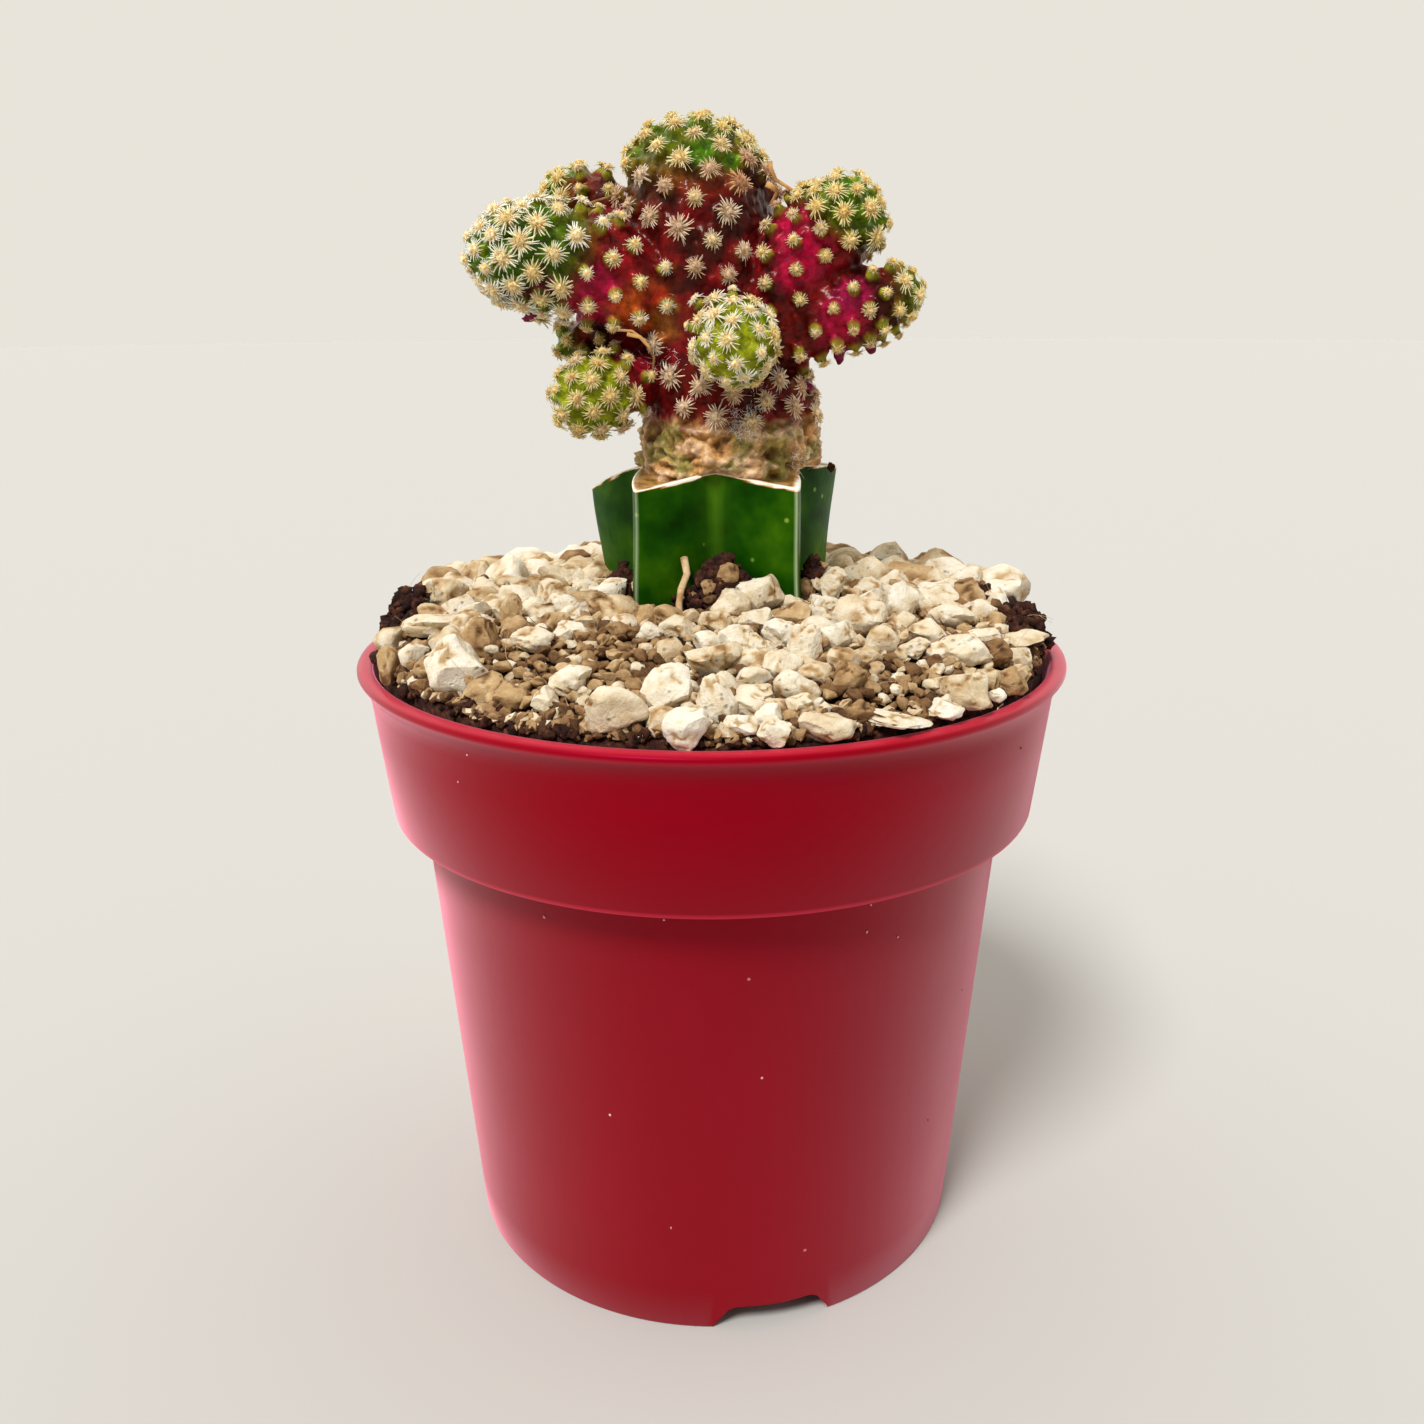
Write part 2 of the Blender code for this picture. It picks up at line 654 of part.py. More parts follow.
class Body:
    """A head without its tubercles, sampled along its axis from the root to the tip."""

    def __init__(self, stations):
        self.middles, self.radii = [], []
        count = len(stations)
        for i in range(count - 1):
            before, after = stations[max(i - 1, 0)], stations[min(i + 2, count - 1)]
            for k in range(AXIS_STEPS + (i == count - 2)):
                share = k / AXIS_STEPS
                nearby = (before, stations[i], stations[i + 1], after)
                values = zip(*(squared(station) for station in nearby))
                x, y, z, square = (through(share, *value) for value in values)
                self.middles.append(Vector((x, y, z)) * MM)
                self.radii.append(math.sqrt(max(square, 0.0)) * MM)
        self.frames = []
        side = (self.middles[1] - self.middles[0]).orthogonal().normalized()
        for here, there in zip(self.middles, self.middles[1:]):
            ahead = (there - here).normalized()
            side = (side - ahead * side.dot(ahead)).normalized()
            self.frames.append((side, ahead.cross(side)))
        self.frames.append(self.frames[-1])

    def point(self, index, angle, grow=0.0):
        side, other = self.frames[index]
        around = side * math.cos(angle) + other * math.sin(angle)
        return self.middles[index] + around * (self.radii[index] + grow)

    def normal(self, index, angle):
        last = len(self.middles) - 2
        index = min(max(index, 1), last)
        along = self.point(index + 1, angle) - self.point(index - 1, angle)
        around = self.point(index, angle + 0.01) - self.point(index, angle - 0.01)
        return around.cross(along).normalized()

    def distance(self, spot):
        """Distance from the skin, negative inside."""
        samples = zip(self.middles[::DISTANCE_STEP], self.radii[::DISTANCE_STEP])
        return min((spot - middle).length - radius for middle, radius in samples)


def squared(station):
    """The station with its radius squared, so that a tip ends round."""
    return (*station[:3], station[3] ** 2)


def through(share, before, first, second, after):
    """A smooth curve through the values first and second."""
    slope_in, slope_out = (second - before) / 2, (after - first) / 2
    rise = second - first
    return (
        first
        + slope_in * share
        + (3 * rise - 2 * slope_in - slope_out) * share**2
        + (slope_in + slope_out - 2 * rise) * share**3
    )


def tubercle_spots(body, spacing):
    """A golden-angle spiral down from the tip, with equal skin area for each tubercle.

    Each spot is its sample along the axis, its angle, and its place on a flat map of the
    skin that keeps angles, with the tip in the middle.
    """
    areas, spreads = [0.0], [0.0]
    order = list(range(len(body.middles) - 1, -1, -1))
    for upper, lower in zip(order, order[1:]):
        ahead = (body.middles[lower] - body.middles[upper]).length
        step = math.hypot(ahead, body.radii[lower] - body.radii[upper])
        width = (body.radii[lower] + body.radii[upper]) / 2
        areas.append(areas[-1] + math.tau * width * step)
        spreads.append(spreads[-1] + step / width)
    count = round(areas[-1] / (spacing**2 * math.sqrt(3) / 2))
    spots, k = [], 0
    for i in range(count):
        goal = areas[-1] * (i + 0.5) / count
        while areas[k + 1] < goal:
            k += 1
        angle = i * GOLDEN_ANGLE
        flat = Vector((math.cos(angle), math.sin(angle))) * math.exp(spreads[k] - spreads[-1] / 2)
        spots.append((order[k], angle, flat))
    return spots


def skin_net(body, spots):
    """Corner points with their normals, and the triangles between neighbouring corners."""
    corners = [(body.point(k, angle), body.normal(k, angle)) for k, angle, _ in spots]
    flats = [flat for _, _, flat in spots]
    triangles = geometry.delaunay_2d_cdt(flats, [], [], 0, 0.0)[2]
    sides = [(triangle[i], triangle[(i + 1) % 3]) for triangle in triangles for i in range(3)]
    known = set(sides)
    root = len(corners)
    corners.append((body.middles[0].copy(), (body.middles[0] - body.middles[1]).normalized()))
    for first, second in sides:
        if (second, first) not in known:
            triangles.append((second, first, root))
    return corners, triangles


def keeps_clear(name, spot, bodies, stars):
    """Whether a spine star centred here touches neither another head nor its stars."""
    for other, body in bodies.items():
        if other != name and body.distance(spot) < HEAD_CLEARANCE:
            return False
    for owner, star in stars:
        if owner != name and (star - spot).length < STAR_CLEARANCE:
            return False
    return True


def tubercled(name, bodies, stars):
    """The head's skin with a spined tubercle raised at each corner of its net."""
    body = bodies[name]
    spacing = MAIN_SPACING if name == MAIN_HEAD else HEAD_SPACING
    corners, triangles = skin_net(body, tubercle_spots(body, spacing))
    bm = bmesh.new()
    valleys = [[] for _ in corners]
    for triangle in triangles:
        middle = sum((corners[i][0] for i in triangle), Vector()) / 3
        valley = bm.verts.new(middle)
        for i in triangle:
            valleys[i].append(valley)
    for (foot, normal), ring in zip(corners, valleys):
        east = normal.orthogonal().normalized()
        north = normal.cross(east)
        around = []
        for valley in ring:
            towards = valley.co - foot
            around.append((math.atan2(towards.dot(north), towards.dot(east)), valley))
        around.sort(key=lambda pair: pair[0])
        star = foot + normal * (TUBERCLE_HEIGHT + SPINE_RISE)
        corky = name == MAIN_HEAD and foot.z < CORKY_BELOW
        is_root = foot == corners[-1][0]
        if corky or is_root or not keeps_clear(name, star, bodies, stars):
            rough = CORK_ROUGHNESS * noise.noise(foot * CORK_DENSITY) if corky else 0.0
            close_with(bm, [valley for _, valley in around], foot + normal * rough)
            continue
        stars.append((name, star))
        raise_tubercle(bm, foot, normal, east, north, around)
    bmesh.ops.recalc_face_normals(bm, faces=bm.faces)
    return bm


def raise_tubercle(bm, foot, normal, east, north, around):
    """A cone up from the valleys to the areole, then one flat spine over each of its sides."""
    count = len(around)
    areole = foot + normal * TUBERCLE_HEIGHT
    collar, tips = [], []
    for i, (turn, _) in enumerate(around):
        outward = east * math.cos(turn) + north * math.sin(turn)
        collar.append(bm.verts.new(areole + outward * AREOLE_RADIUS))
        following = around[(i + 1) % count][0]
        if following < turn:
            following += math.tau
        middle = (turn + following) / 2
        outward = east * math.cos(middle) + north * math.sin(middle)
        tips.append(bm.verts.new(areole + outward * SPINE_REACH + normal * SPINE_RISE))
    crown = bm.verts.new(areole + normal * CROWN_RISE)
    for i in range(count):
        j = (i + 1) % count
        low, next_low = around[i][1], around[j][1]
        bm.faces.new((low, next_low, collar[j], collar[i]))
        bm.faces.new((collar[i], collar[j], tips[i]))
        bm.faces.new((collar[j], crown, tips[i]))
        bm.faces.new((crown, collar[i], tips[i]))


def body_cutter(name, body):
    """The smooth body with the gap added all round, to trim a neighbour that grows from it."""
    bm = bmesh.new()
    rings = []
    every = AXIS_STEPS // CUTTER_STEPS
    for index in range(0, len(body.middles) - every // 2, every):
        turns = (k * math.tau / CUTTER_SIDES for k in range(CUTTER_SIDES))
        rings.append([bm.verts.new(body.point(index, turn, GAP)) for turn in turns])
    for first, second in zip(rings, rings[1:]):
        bridge(bm, first, second)
    root_end = body.middles[0] - body.middles[1]
    close_with(bm, rings[0], body.middles[0] + root_end.normalized() * GAP)
    close_with(bm, rings[-1], body.middles[-1] - root_end.normalized() * GAP)
    bmesh.ops.recalc_face_normals(bm, faces=bm.faces)
    return add_object("cutter_" + name, bm)


def make_heads(skins):
    bodies = {name: Body(stations) for name, stations in HEADS.items()}
    stars = []
    earlier = [MAIN_HEAD]
    for name, body in bodies.items():
        bm = tubercled(name, bodies, stars)
        if name == MAIN_HEAD:
            bmesh.ops.bisect_plane(
                bm,
                geom=bm.verts[:] + bm.edges[:] + bm.faces[:],
                dist=1e-7,
                plane_co=(0, 0, SCION_BASE),
                plane_no=(0, 0, 1),
                clear_inner=True,
            )
            open_edges = [edge for edge in bm.edges if edge.is_boundary]
            bmesh.ops.contextual_create(bm, geom=open_edges)
            bmesh.ops.recalc_face_normals(bm, faces=bm.faces)
        head = add_object(name, bm, skins.get(name, skins["head"]))
        if name == MAIN_HEAD:
            cutters = [add_object("cut_top", stock_stem(GAP))]
        else:
            cutters = [body_cutter(other, bodies[other]) for other in earlier]
            earlier.append(name)
        apply_boolean(head, cutters, "DIFFERENCE", "MANIFOLD")
    print(len(stars), "tubercles with spines")


def main():
    clear_scene()
    plastic = make_material("red_polypropylene", (0.33, 0.004, 0.018), 0.38)
    peat = make_material("peat_mix", (0.045, 0.018, 0.010), 0.95)
    pumice = make_material("pumice_gravel", (0.56, 0.48, 0.34), 0.9)
    stem = make_material("green_stem", (0.012, 0.085, 0.006), 0.4)
    skins = {
        MAIN_HEAD: make_material("crimson_skin", (0.16, 0.012, 0.016), 0.5),
        "head": make_material("green_skin", (0.18, 0.22, 0.03), 0.5),
    }
    make_pot(plastic)
    mix = make_mix(peat)
    make_gravel(pumice, make_rootstock("gravel_hole", grow=GAP))
    apply_boolean(mix, [make_rootstock("mix_hole", grow=GAP)], "DIFFERENCE", "MANIFOLD")
    make_rootstock("rootstock", stem)
    make_heads(skins)


main()
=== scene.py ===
# A mammillaria grafted on a five-ribbed stock, in a red nursery pot.
# The CAD frame gives the places and sizes, this script gives the looks. Shapes are modelled
# in millimetres and -Y faces the camera; addPiece scales each finished piece to metres.

import math
import random

import bmesh
import bpy
import numpy as np
from mathutils import Matrix, Vector, noise
from mathutils.bvhtree import BVHTree


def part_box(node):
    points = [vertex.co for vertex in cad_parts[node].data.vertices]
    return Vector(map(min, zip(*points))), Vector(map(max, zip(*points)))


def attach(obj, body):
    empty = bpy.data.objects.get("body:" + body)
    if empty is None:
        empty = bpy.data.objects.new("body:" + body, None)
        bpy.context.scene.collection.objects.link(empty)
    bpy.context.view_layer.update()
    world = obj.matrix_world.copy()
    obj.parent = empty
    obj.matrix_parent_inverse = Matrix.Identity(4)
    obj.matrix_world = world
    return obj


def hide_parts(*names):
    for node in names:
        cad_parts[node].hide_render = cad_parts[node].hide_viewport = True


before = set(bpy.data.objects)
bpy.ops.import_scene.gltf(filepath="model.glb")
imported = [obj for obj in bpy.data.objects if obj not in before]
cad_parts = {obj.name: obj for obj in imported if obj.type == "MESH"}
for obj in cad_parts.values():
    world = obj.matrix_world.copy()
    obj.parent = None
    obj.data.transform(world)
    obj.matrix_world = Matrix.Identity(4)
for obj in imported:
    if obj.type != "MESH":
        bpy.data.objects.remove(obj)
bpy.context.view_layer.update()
mm = 0.001
up = Vector((0, 0, 1))
goldenAngle = math.pi * (3 - math.sqrt(5))


# Small helpers for every piece

def linear(hexColour):
    parts = [int(hexColour[i:i + 2], 16) / 255 for i in (1, 3, 5)]
    return tuple(c / 12.92 if c < 0.04045 else ((c + 0.055) / 1.055) ** 2.4 for c in parts) + (1,)


def perMm(size):
    return 1 / (size * mm)  # noise scale on Object coordinates for a pattern of this size


def connect(tree, inputs, links):
    # from a socket, or from the first output that a node has in use
    for key, source in links.items():
        if isinstance(source, bpy.types.Node):
            source = next(output for output in source.outputs if output.enabled)
        tree.links.new(source, inputs[key])


def addNode(tree, kind, settings=None, links=None):
    node = tree.nodes.new("ShaderNode" + kind)
    for key, value in (settings or {}).items():
        if key == "stops":  # the places and colours of a colour ramp
            ends = node.color_ramp.elements
            for element, (place, colour) in zip(ends, (value[0], value[-1])):
                element.position, element.color = place, linear(colour)
            for place, colour in value[1:-1]:
                ends.new(place).color = linear(colour)
        elif isinstance(key, str) and hasattr(node, key):
            setattr(node, key, value)
        else:
            node.inputs[key].default_value = value
    connect(tree, node.inputs, links or {})
    return node


def newMaterial(name, settings):
    material = bpy.data.materials.new(name)
    material.use_nodes = True
    shader = material.node_tree.nodes["Principled BSDF"]
    for key, value in settings.items():
        shader.inputs[key].default_value = value
    return material, material.node_tree, shader.inputs


def smoothStep(low, high, value):
    share = np.clip((value - low) / (high - low), 0, 1)
    return share * share * (3 - 2 * share)


def randomDirection(chance):
    z = chance.uniform(-1, 1)
    turn = chance.uniform(0, math.tau)
    flat = math.sqrt(1 - z * z)
    return Vector((flat * math.cos(turn), flat * math.sin(turn), z))


def standing(spot, normal, spin=0.0):
    # the place at this spot whose Z is the normal
    turned = up.rotation_difference(normal).to_matrix().to_4x4() @ Matrix.Rotation(spin, 4, "Z")
    return Matrix.Translation(spot) @ turned


def fromFront(angle, radius):
    # x and y at this angle round the pot, counted from the front
    return radius * math.sin(angle), -radius * math.cos(angle)


def toMesh(bm, name="shape"):
    mesh = bpy.data.meshes.new(name)
    bm.to_mesh(mesh)
    bm.free()
    return mesh


def linkObject(name, data):
    placed = bpy.data.objects.new(name, data)
    bpy.context.scene.collection.objects.link(placed)
    return placed


def ball(detail=2):
    bm = bmesh.new()
    bmesh.ops.create_icosphere(bm, subdivisions=detail, radius=1.0)
    return bm


def spun(profile, steps):
    # a profile of (radius, height) turned once round Z
    bm = bmesh.new()
    points = [bm.verts.new((radius, 0, height)) for radius, height in profile]
    edges = [bm.edges.new(pair) for pair in zip(points, points[1:])]
    bmesh.ops.spin(bm, geom=points + edges, cent=(0, 0, 0), axis=(0, 0, 1), angle=math.tau,
                   steps=steps, use_merge=True)
    bmesh.ops.remove_doubles(bm, verts=bm.verts, dist=0.0005)
    return bm


def addRing(bm, sides, radius, place):
    made = bmesh.ops.create_circle(bm, segments=sides, radius=radius, matrix=place)["verts"]
    return list({edge for vert in made for edge in vert.link_edges})


def closeTube(bm, rings):
    # walls from ring to ring and a cap on both ends
    for first, second in zip(rings, rings[1:]):
        bmesh.ops.bridge_loops(bm, edges=first + second)
    for end in (rings[0], rings[-1]):
        bmesh.ops.contextual_create(bm, geom=end)
    bmesh.ops.recalc_face_normals(bm, faces=bm.faces)


def pile(copies):
    # one bmesh of many placed copies, each (mesh, matrix, tone)
    bm = bmesh.new()
    toneLayer = bm.verts.layers.float.new("tone")
    alongLayer = bm.verts.layers.float.new("along")
    for mesh, place, tone in copies:
        start = len(bm.verts)
        bm.from_mesh(mesh)
        bm.verts.ensure_lookup_table()
        pits = mesh.attributes.get("pit")  # the cracks of a chip are made browner
        for i, vert in enumerate(bm.verts[start:]):
            vert[toneLayer] = tone + (pits.data[i].value if pits else 0)
            vert[alongLayer] = vert.co.length  # from the middle of the copied shape
            vert.co = place @ vert.co
    return bm


def strand(points, radius, tip=0.3, sides=4, flat=1.0):
    # a tapered tube through the points; flat under 1 squeezes it to a ribbon
    bm = bmesh.new()
    rings = []
    for i, spot in enumerate(points):
        ahead = (points[min(i + 1, len(points) - 1)] - points[max(i - 1, 0)]).normalized()
        size = radius * (1 - (1 - tip) * i / (len(points) - 1))
        rings.append(addRing(bm, sides, size, standing(spot, ahead) @ Matrix.Diagonal((1, flat, 1, 1))))
    closeTube(bm, rings)
    return toMesh(bm, "strand")


def curl(chance, bend, radius):
    # a thread of unit length from the origin, wandering off as it goes
    steps = 7
    spot, heading = Vector((0, 0, 0)), up.copy()
    drift = randomDirection(chance) * bend / steps
    points = [spot.copy()]
    for _ in range(steps):
        heading = (heading + drift + randomDirection(chance) * bend * 0.35 / steps).normalized()
        spot += heading / steps
        points.append(spot.copy())
    return strand(points, radius, sides=3)


def addPiece(name, shape, material, standsFor=(), sharpAngle=None):
    mesh = shape if isinstance(shape, bpy.types.Mesh) else toMesh(shape)
    mesh.name = name
    mesh.transform(Matrix.Scale(mm, 4))
    mesh.materials.clear()
    mesh.materials.append(material)
    mesh.shade_smooth()
    if sharpAngle:
        mesh.set_sharp_from_angle(angle=math.radians(sharpAngle))
    piece = linkObject(name, mesh)
    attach(piece, "root")
    if standsFor:
        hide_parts(*standsFor)
    triangles = sum(len(face.vertices) - 2 for face in mesh.polygons)
    print(f"{name}: {triangles} triangles")


def applied(mesh, modifiers):
    # the mesh with these modifiers applied, each (type, settings)
    holder = linkObject("holder", mesh)
    for kind, settings in modifiers:
        modifier = holder.modifiers.new(kind.lower(), kind)
        for key, value in settings.items():
            setattr(modifier, key, value)
    graph = bpy.context.evaluated_depsgraph_get()
    made = bpy.data.meshes.new_from_object(holder.evaluated_get(graph))
    bpy.data.objects.remove(holder, do_unlink=True)
    return made


# Camera, fitted to the photograph

cameraSettings = {
    "place": (0.0, -156.0, 115.3),
    "pitchDown": 17.59,
    "roll": -0.288,
    "lens": 32.97,
    "sensor": 36,
    "photoSize": 1424,
    "near": 90.0,  # millimetres before the camera between which the object stands
    "far": 230.0,
}
photoDepth = cameraSettings["lens"] / cameraSettings["sensor"] * cameraSettings["photoSize"]


def makeCamera():
    lens = bpy.data.cameras.new("photoCamera")
    lens.sensor_width = cameraSettings["sensor"]
    lens.lens = cameraSettings["lens"]
    lens.clip_start = 0.005
    lens.clip_end = 20
    camera = linkObject("photoCamera", lens)
    turn = Matrix.Rotation(math.radians(90 - cameraSettings["pitchDown"]), 4, "X")
    roll = Matrix.Rotation(math.radians(-cameraSettings["roll"]), 4, "Z")
    place = Matrix.Translation(Vector(cameraSettings["place"]) * mm)
    camera.matrix_world = place @ turn @ roll.inverted()
    bpy.context.scene.camera = camera
    bpy.context.view_layer.update()
    return camera


def photoRay(x, y):
    # from the camera through a pixel of the photograph, in millimetres
    middle = cameraSettings["photoSize"] / 2
    towards = Vector((x - middle, middle - y, -photoDepth))
    return Vector(cameraSettings["place"]), (camera.matrix_world.to_3x3() @ towards) / photoDepth


def marched(x, y, inside):
    # where the ray through a pixel enters a form, and the millimetres of one pixel there
    start, towards = photoRay(x, y)
    reach, step = cameraSettings["near"], 2.0
    while reach < cameraSettings["far"] and step > 0.05:
        if inside(start + towards * reach):
            reach -= step
            step /= 4
        reach += step
    return start + towards * reach, reach / photoDepth


def atDepth(x, y, depth):
    # on the ray through a pixel, where it crosses the upright plane at this Y
    start, towards = photoRay(x, y)
    return start + towards * ((depth - start.y) / towards.y)


def seenOn(tree, x, y):
    # what a pixel shows of a shape: the point and its normal, or two times None
    start, towards = photoRay(x, y)
    return tree.ray_cast(start, towards.normalized())[:2]


def toPhoto(spot):
    # the pixel that shows a spot
    local = camera.matrix_world.inverted() @ (spot * mm)
    middle = cameraSettings["photoSize"] / 2
    return middle + photoDepth * local.x / -local.z, middle - photoDepth * local.y / -local.z


camera = makeCamera()
print("camera in place")


# Pot: injection-moulded polypropylene, with a wide collar and a flared lip

potLow, potHigh = (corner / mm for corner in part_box("pot"))
potSettings = {
    "sides": 176,
    "rimRadius": (potHigh.x - potLow.x) / 2,
    "height": potHigh.z,
    "lipHeight": 1.1,
    "collarTop": (41.05, 71.2),  # radius and height
    "flare": ((41.3, 72.2), (41.7, 73.2)),
    "collarFoot": (39.5, 56.8),
    "bodyTop": 36.0,
    "footRadius": 31.7,
    "wall": 1.0,
    "floor": (3.6, 4.8),
    "footRing": 1.4,
    "edgeRound": 0.22,
    "notchAngles": (12.5, 132.5, 252.5),
    "notchHalfWidths": (12.5, 9.0),  # degrees, at the foot and at the top
    "notchHeight": 3.0,
    "notchRound": 0.9,
    "drains": 6,
    "drainCircle": 20.0,
    "drainRadius": 2.5,
}


def wallRadius(height):
    p = potSettings
    share = height / p["collarFoot"][1]
    return p["footRadius"] + (p["bodyTop"] - p["footRadius"]) * share


def potProfile():
    p = potSettings
    rim, top, wall = p["rimRadius"], p["height"], p["wall"]
    (collarRadius, collarTop), (footRadius, ledge) = p["collarTop"], p["collarFoot"]
    under, floor = p["floor"]
    inFoot = p["footRadius"] - p["footRing"]
    outside = [
        (0, under), (inFoot, under), (inFoot, 0), (p["footRadius"], 0),
        (wallRadius(5.5), 5.5), (p["bodyTop"], ledge), (footRadius, ledge),
        (collarRadius - 0.3, collarTop - 3), (collarRadius, collarTop), *p["flare"],
        (rim - 0.25, top - p["lipHeight"]), (rim, top - p["lipHeight"] + 0.35),
        (rim - 0.12, top - 0.25), (rim - 0.75, top), (rim - 1.75, top), (rim - 2.0, top - 0.5),
    ]
    inside = [
        (collarRadius - wall, collarTop), (footRadius - wall, ledge + wall),
        (wallRadius(ledge + wall) - wall, ledge + wall), (wallRadius(floor) - wall, floor), (0, floor),
    ]
    return outside + inside


def potCutters():
    # a wedge with a rounded roof for each notch, and a rod for each drain
    p = potSettings
    bm = bmesh.new()
    (lower, upper), top = p["notchHalfWidths"], p["notchHeight"]
    lower *= 1.1  # the wedge starts a little under the foot
    section = ((-lower, -1.0), (lower, -1.0), (upper, top), (-upper, top))
    for middle in p["notchAngles"]:
        corners = [bm.verts.new((*fromFront(math.radians(middle + turn), p["footRadius"] * reach), height))
                   for reach in (0.8, 1.15) for turn, height in section]
        bmesh.ops.convex_hull(bm, input=corners)
        roof = [edge for edge in bm.edges
                if all(vert in corners and vert.co.z > 1 for vert in edge.verts)
                and abs(edge.verts[0].co.xy.length - edge.verts[1].co.xy.length) > 4]
        bmesh.ops.bevel(bm, geom=roof, offset=p["notchRound"], segments=4, affect="EDGES",
                        profile=0.5, material=-1)
    for i in range(p["drains"]):
        angle = i * math.tau / p["drains"]
        place = Vector((*fromFront(angle, p["drainCircle"]), sum(p["floor"]) / 2))
        bmesh.ops.create_cone(bm, cap_ends=True, segments=32, radius1=p["drainRadius"],
                              radius2=p["drainRadius"], depth=4, matrix=Matrix.Translation(place))
    bmesh.ops.recalc_face_normals(bm, faces=bm.faces)
    return bm


def potMaterial():
    # coloured polypropylene, moulded against polished steel: waxy, and pale pink at a flat angle
    material, tree, inputs = newMaterial("moulded polypropylene", {
        "IOR": 1.49, "Specular IOR Level": 0.26, "Specular Tint": linear("#ff3494"),
        "Sheen Weight": 1.0, "Sheen Roughness": 0.33, "Sheen Tint": linear("#ff9fb4")})
    place = addNode(tree, "TexCoord").outputs["Object"]
    cloud = addNode(tree, "TexNoise", {"Scale": perMm(22), "Detail": 2.0}, {"Vector": place})
    colour = addNode(tree, "ValToRGB", {"stops": [(0.3, "#86000a"), (0.7, "#8c000f")]}, {"Fac": cloud})
    axes = addNode(tree, "SeparateXYZ", {}, {"Vector": place})
    top, ledge = potHigh.z, potSettings["collarFoot"][1]
    share = addNode(tree, "Math", {"operation": "DIVIDE", 1: top * mm}, {0: axes.outputs["Z"]})
    lip = top - potSettings["lipHeight"]
    heights = (  # painted highlights: the rounded edges of the ledge, the lip and the rim are painted pale red, as where they catch the light
        (0.0, "#000000"), (ledge - 0.15, "#000000"), (ledge, "#b5b5b5"), (ledge + 0.3, "#b5b5b5"),
        (ledge + 0.5, "#000000"), (lip - 0.1, "#000000"), (lip + 0.05, "#b0b0b0"),
        (lip + 0.2, "#a0a0a0"), (lip + 0.35, "#303030"), (top - 0.2, "#303030"),
        (top - 0.06, "#b0b0b0"), (top, "#b0b0b0"))
    wearAndEdgeHighlight = addNode(tree, "ValToRGB", {"stops": [(z / top, grey) for z, grey in heights]}, {"Fac": share})
    # painted highlight: the pale red laid on the lit edges
    withEdgeHighlights = addNode(tree, "Mix", {"data_type": "RGBA", 7: linear("#e0304a")}, {0: wearAndEdgeHighlight, 6: colour})
    dust = addNode(tree, "TexVoronoi", {"Scale": perMm(9), "Randomness": 1.0}, {"Vector": place})
    speck = addNode(tree, "MapRange", {1: 0.028, 2: 0.02, 3: 0.0, 4: 0.7}, {"Value": dust})
    dusty = addNode(tree, "Mix", {"data_type": "RGBA", 7: linear("#d98a97")}, {0: speck, 6: withEdgeHighlights})
    haze = addNode(tree, "TexNoise", {"Scale": perMm(7), "Detail": 4.0}, {"Vector": place})
    gloss = addNode(tree, "MapRange", {3: 0.3, 4: 0.4}, {"Value": haze})
    grain = addNode(tree, "TexNoise", {"Scale": perMm(1.1), "Detail": 3.0}, {"Vector": place})
    bump = addNode(tree, "Bump", {"Strength": 0.05, "Distance": 0.1 * mm}, {"Height": grain})
    connect(tree, inputs, {"Base Color": dusty, "Roughness": gloss, "Normal": bump})
    return material


def makePot():
    p = potSettings
    bm = spun(potProfile(), p["sides"])
    bmesh.ops.recalc_face_normals(bm, faces=bm.faces)
    corners = [e for e in bm.edges if e.is_manifold and e.calc_face_angle() > math.radians(25)]
    bmesh.ops.bevel(bm, geom=corners, offset=p["edgeRound"], segments=2, affect="EDGES",
                    profile=0.5, material=-1, clamp_overlap=True)
    cutter = linkObject("potCutter", toMesh(potCutters()))
    cut = applied(toMesh(bm), [
        ("BOOLEAN", {"operation": "DIFFERENCE", "object": cutter, "solver": "EXACT"})])
    bpy.data.objects.remove(cutter, do_unlink=True)
    addPiece("nursery_pot", cut, potMaterial(), ["pot"], sharpAngle=38)


makePot()


# Potting mix: reddish peat in crumbs, heaped at the stem's foot and at both sides of the rim

soilSettings = {
    "top": 80.4,
    "edgeRadius": 39.7,
    "edgeHeights": (74.8, 75.7, 75.3),  # at the front, the sides and the back
    "sharpness": (2.6, 15.0, 12.0),  # of the drop from the plateau to the rim
    "rings": 62,
    "steps": 330,  # round the pot
    "crumbs": ((3.4, 0.9), (1.5, 0.55), (0.7, 0.3)),  # size and height of the lumps
    "wallGap": 0.3,  # between the mix and the pot
    "shoulder": 72.0,  # down to here the mix is as wide as its top
    "fall": 0.055,  # of the top towards the back
    "heaps": (  # x, y, reach and height: round the stem and at the rim
        (1.6, -10.5, 5.2, 5.4), (0.6, -10.0, 11.0, 3.0), (-10.4, -3.5, 3.4, 5.4),
        (11.9, -6.0, 3.4, 6.6), (-36.3, -5.5, 5.5, 3.2), (36.8, -11.5, 5.5, 3.4)),
}


def aroundPot(values, angle):
    # between the values for the front, the sides and the back
    front, sides, back = values
    ahead = math.cos(angle)
    return sides + (front - sides) * max(ahead, 0) + (back - sides) * max(-ahead, 0)


def soilHeight(x, y):
    # of the mix without its lumps: a plateau that drops to the rim, with heaps
    s = soilSettings
    angle = math.atan2(x, -y)
    edge = aroundPot(s["edgeHeights"], angle)
    share = min(math.hypot(x, y) / s["edgeRadius"], 1)
    plain = 1 - share ** aroundPot(s["sharpness"], angle)
    height = edge + (s["top"] - s["fall"] * max(y, 0) - edge) * plain
    for heapX, heapY, reach, rise in s["heaps"]:
        away = math.hypot(x - heapX, y - heapY)
        if away < reach:
            height += rise * (1 - away / reach) ** 1.2
    return height


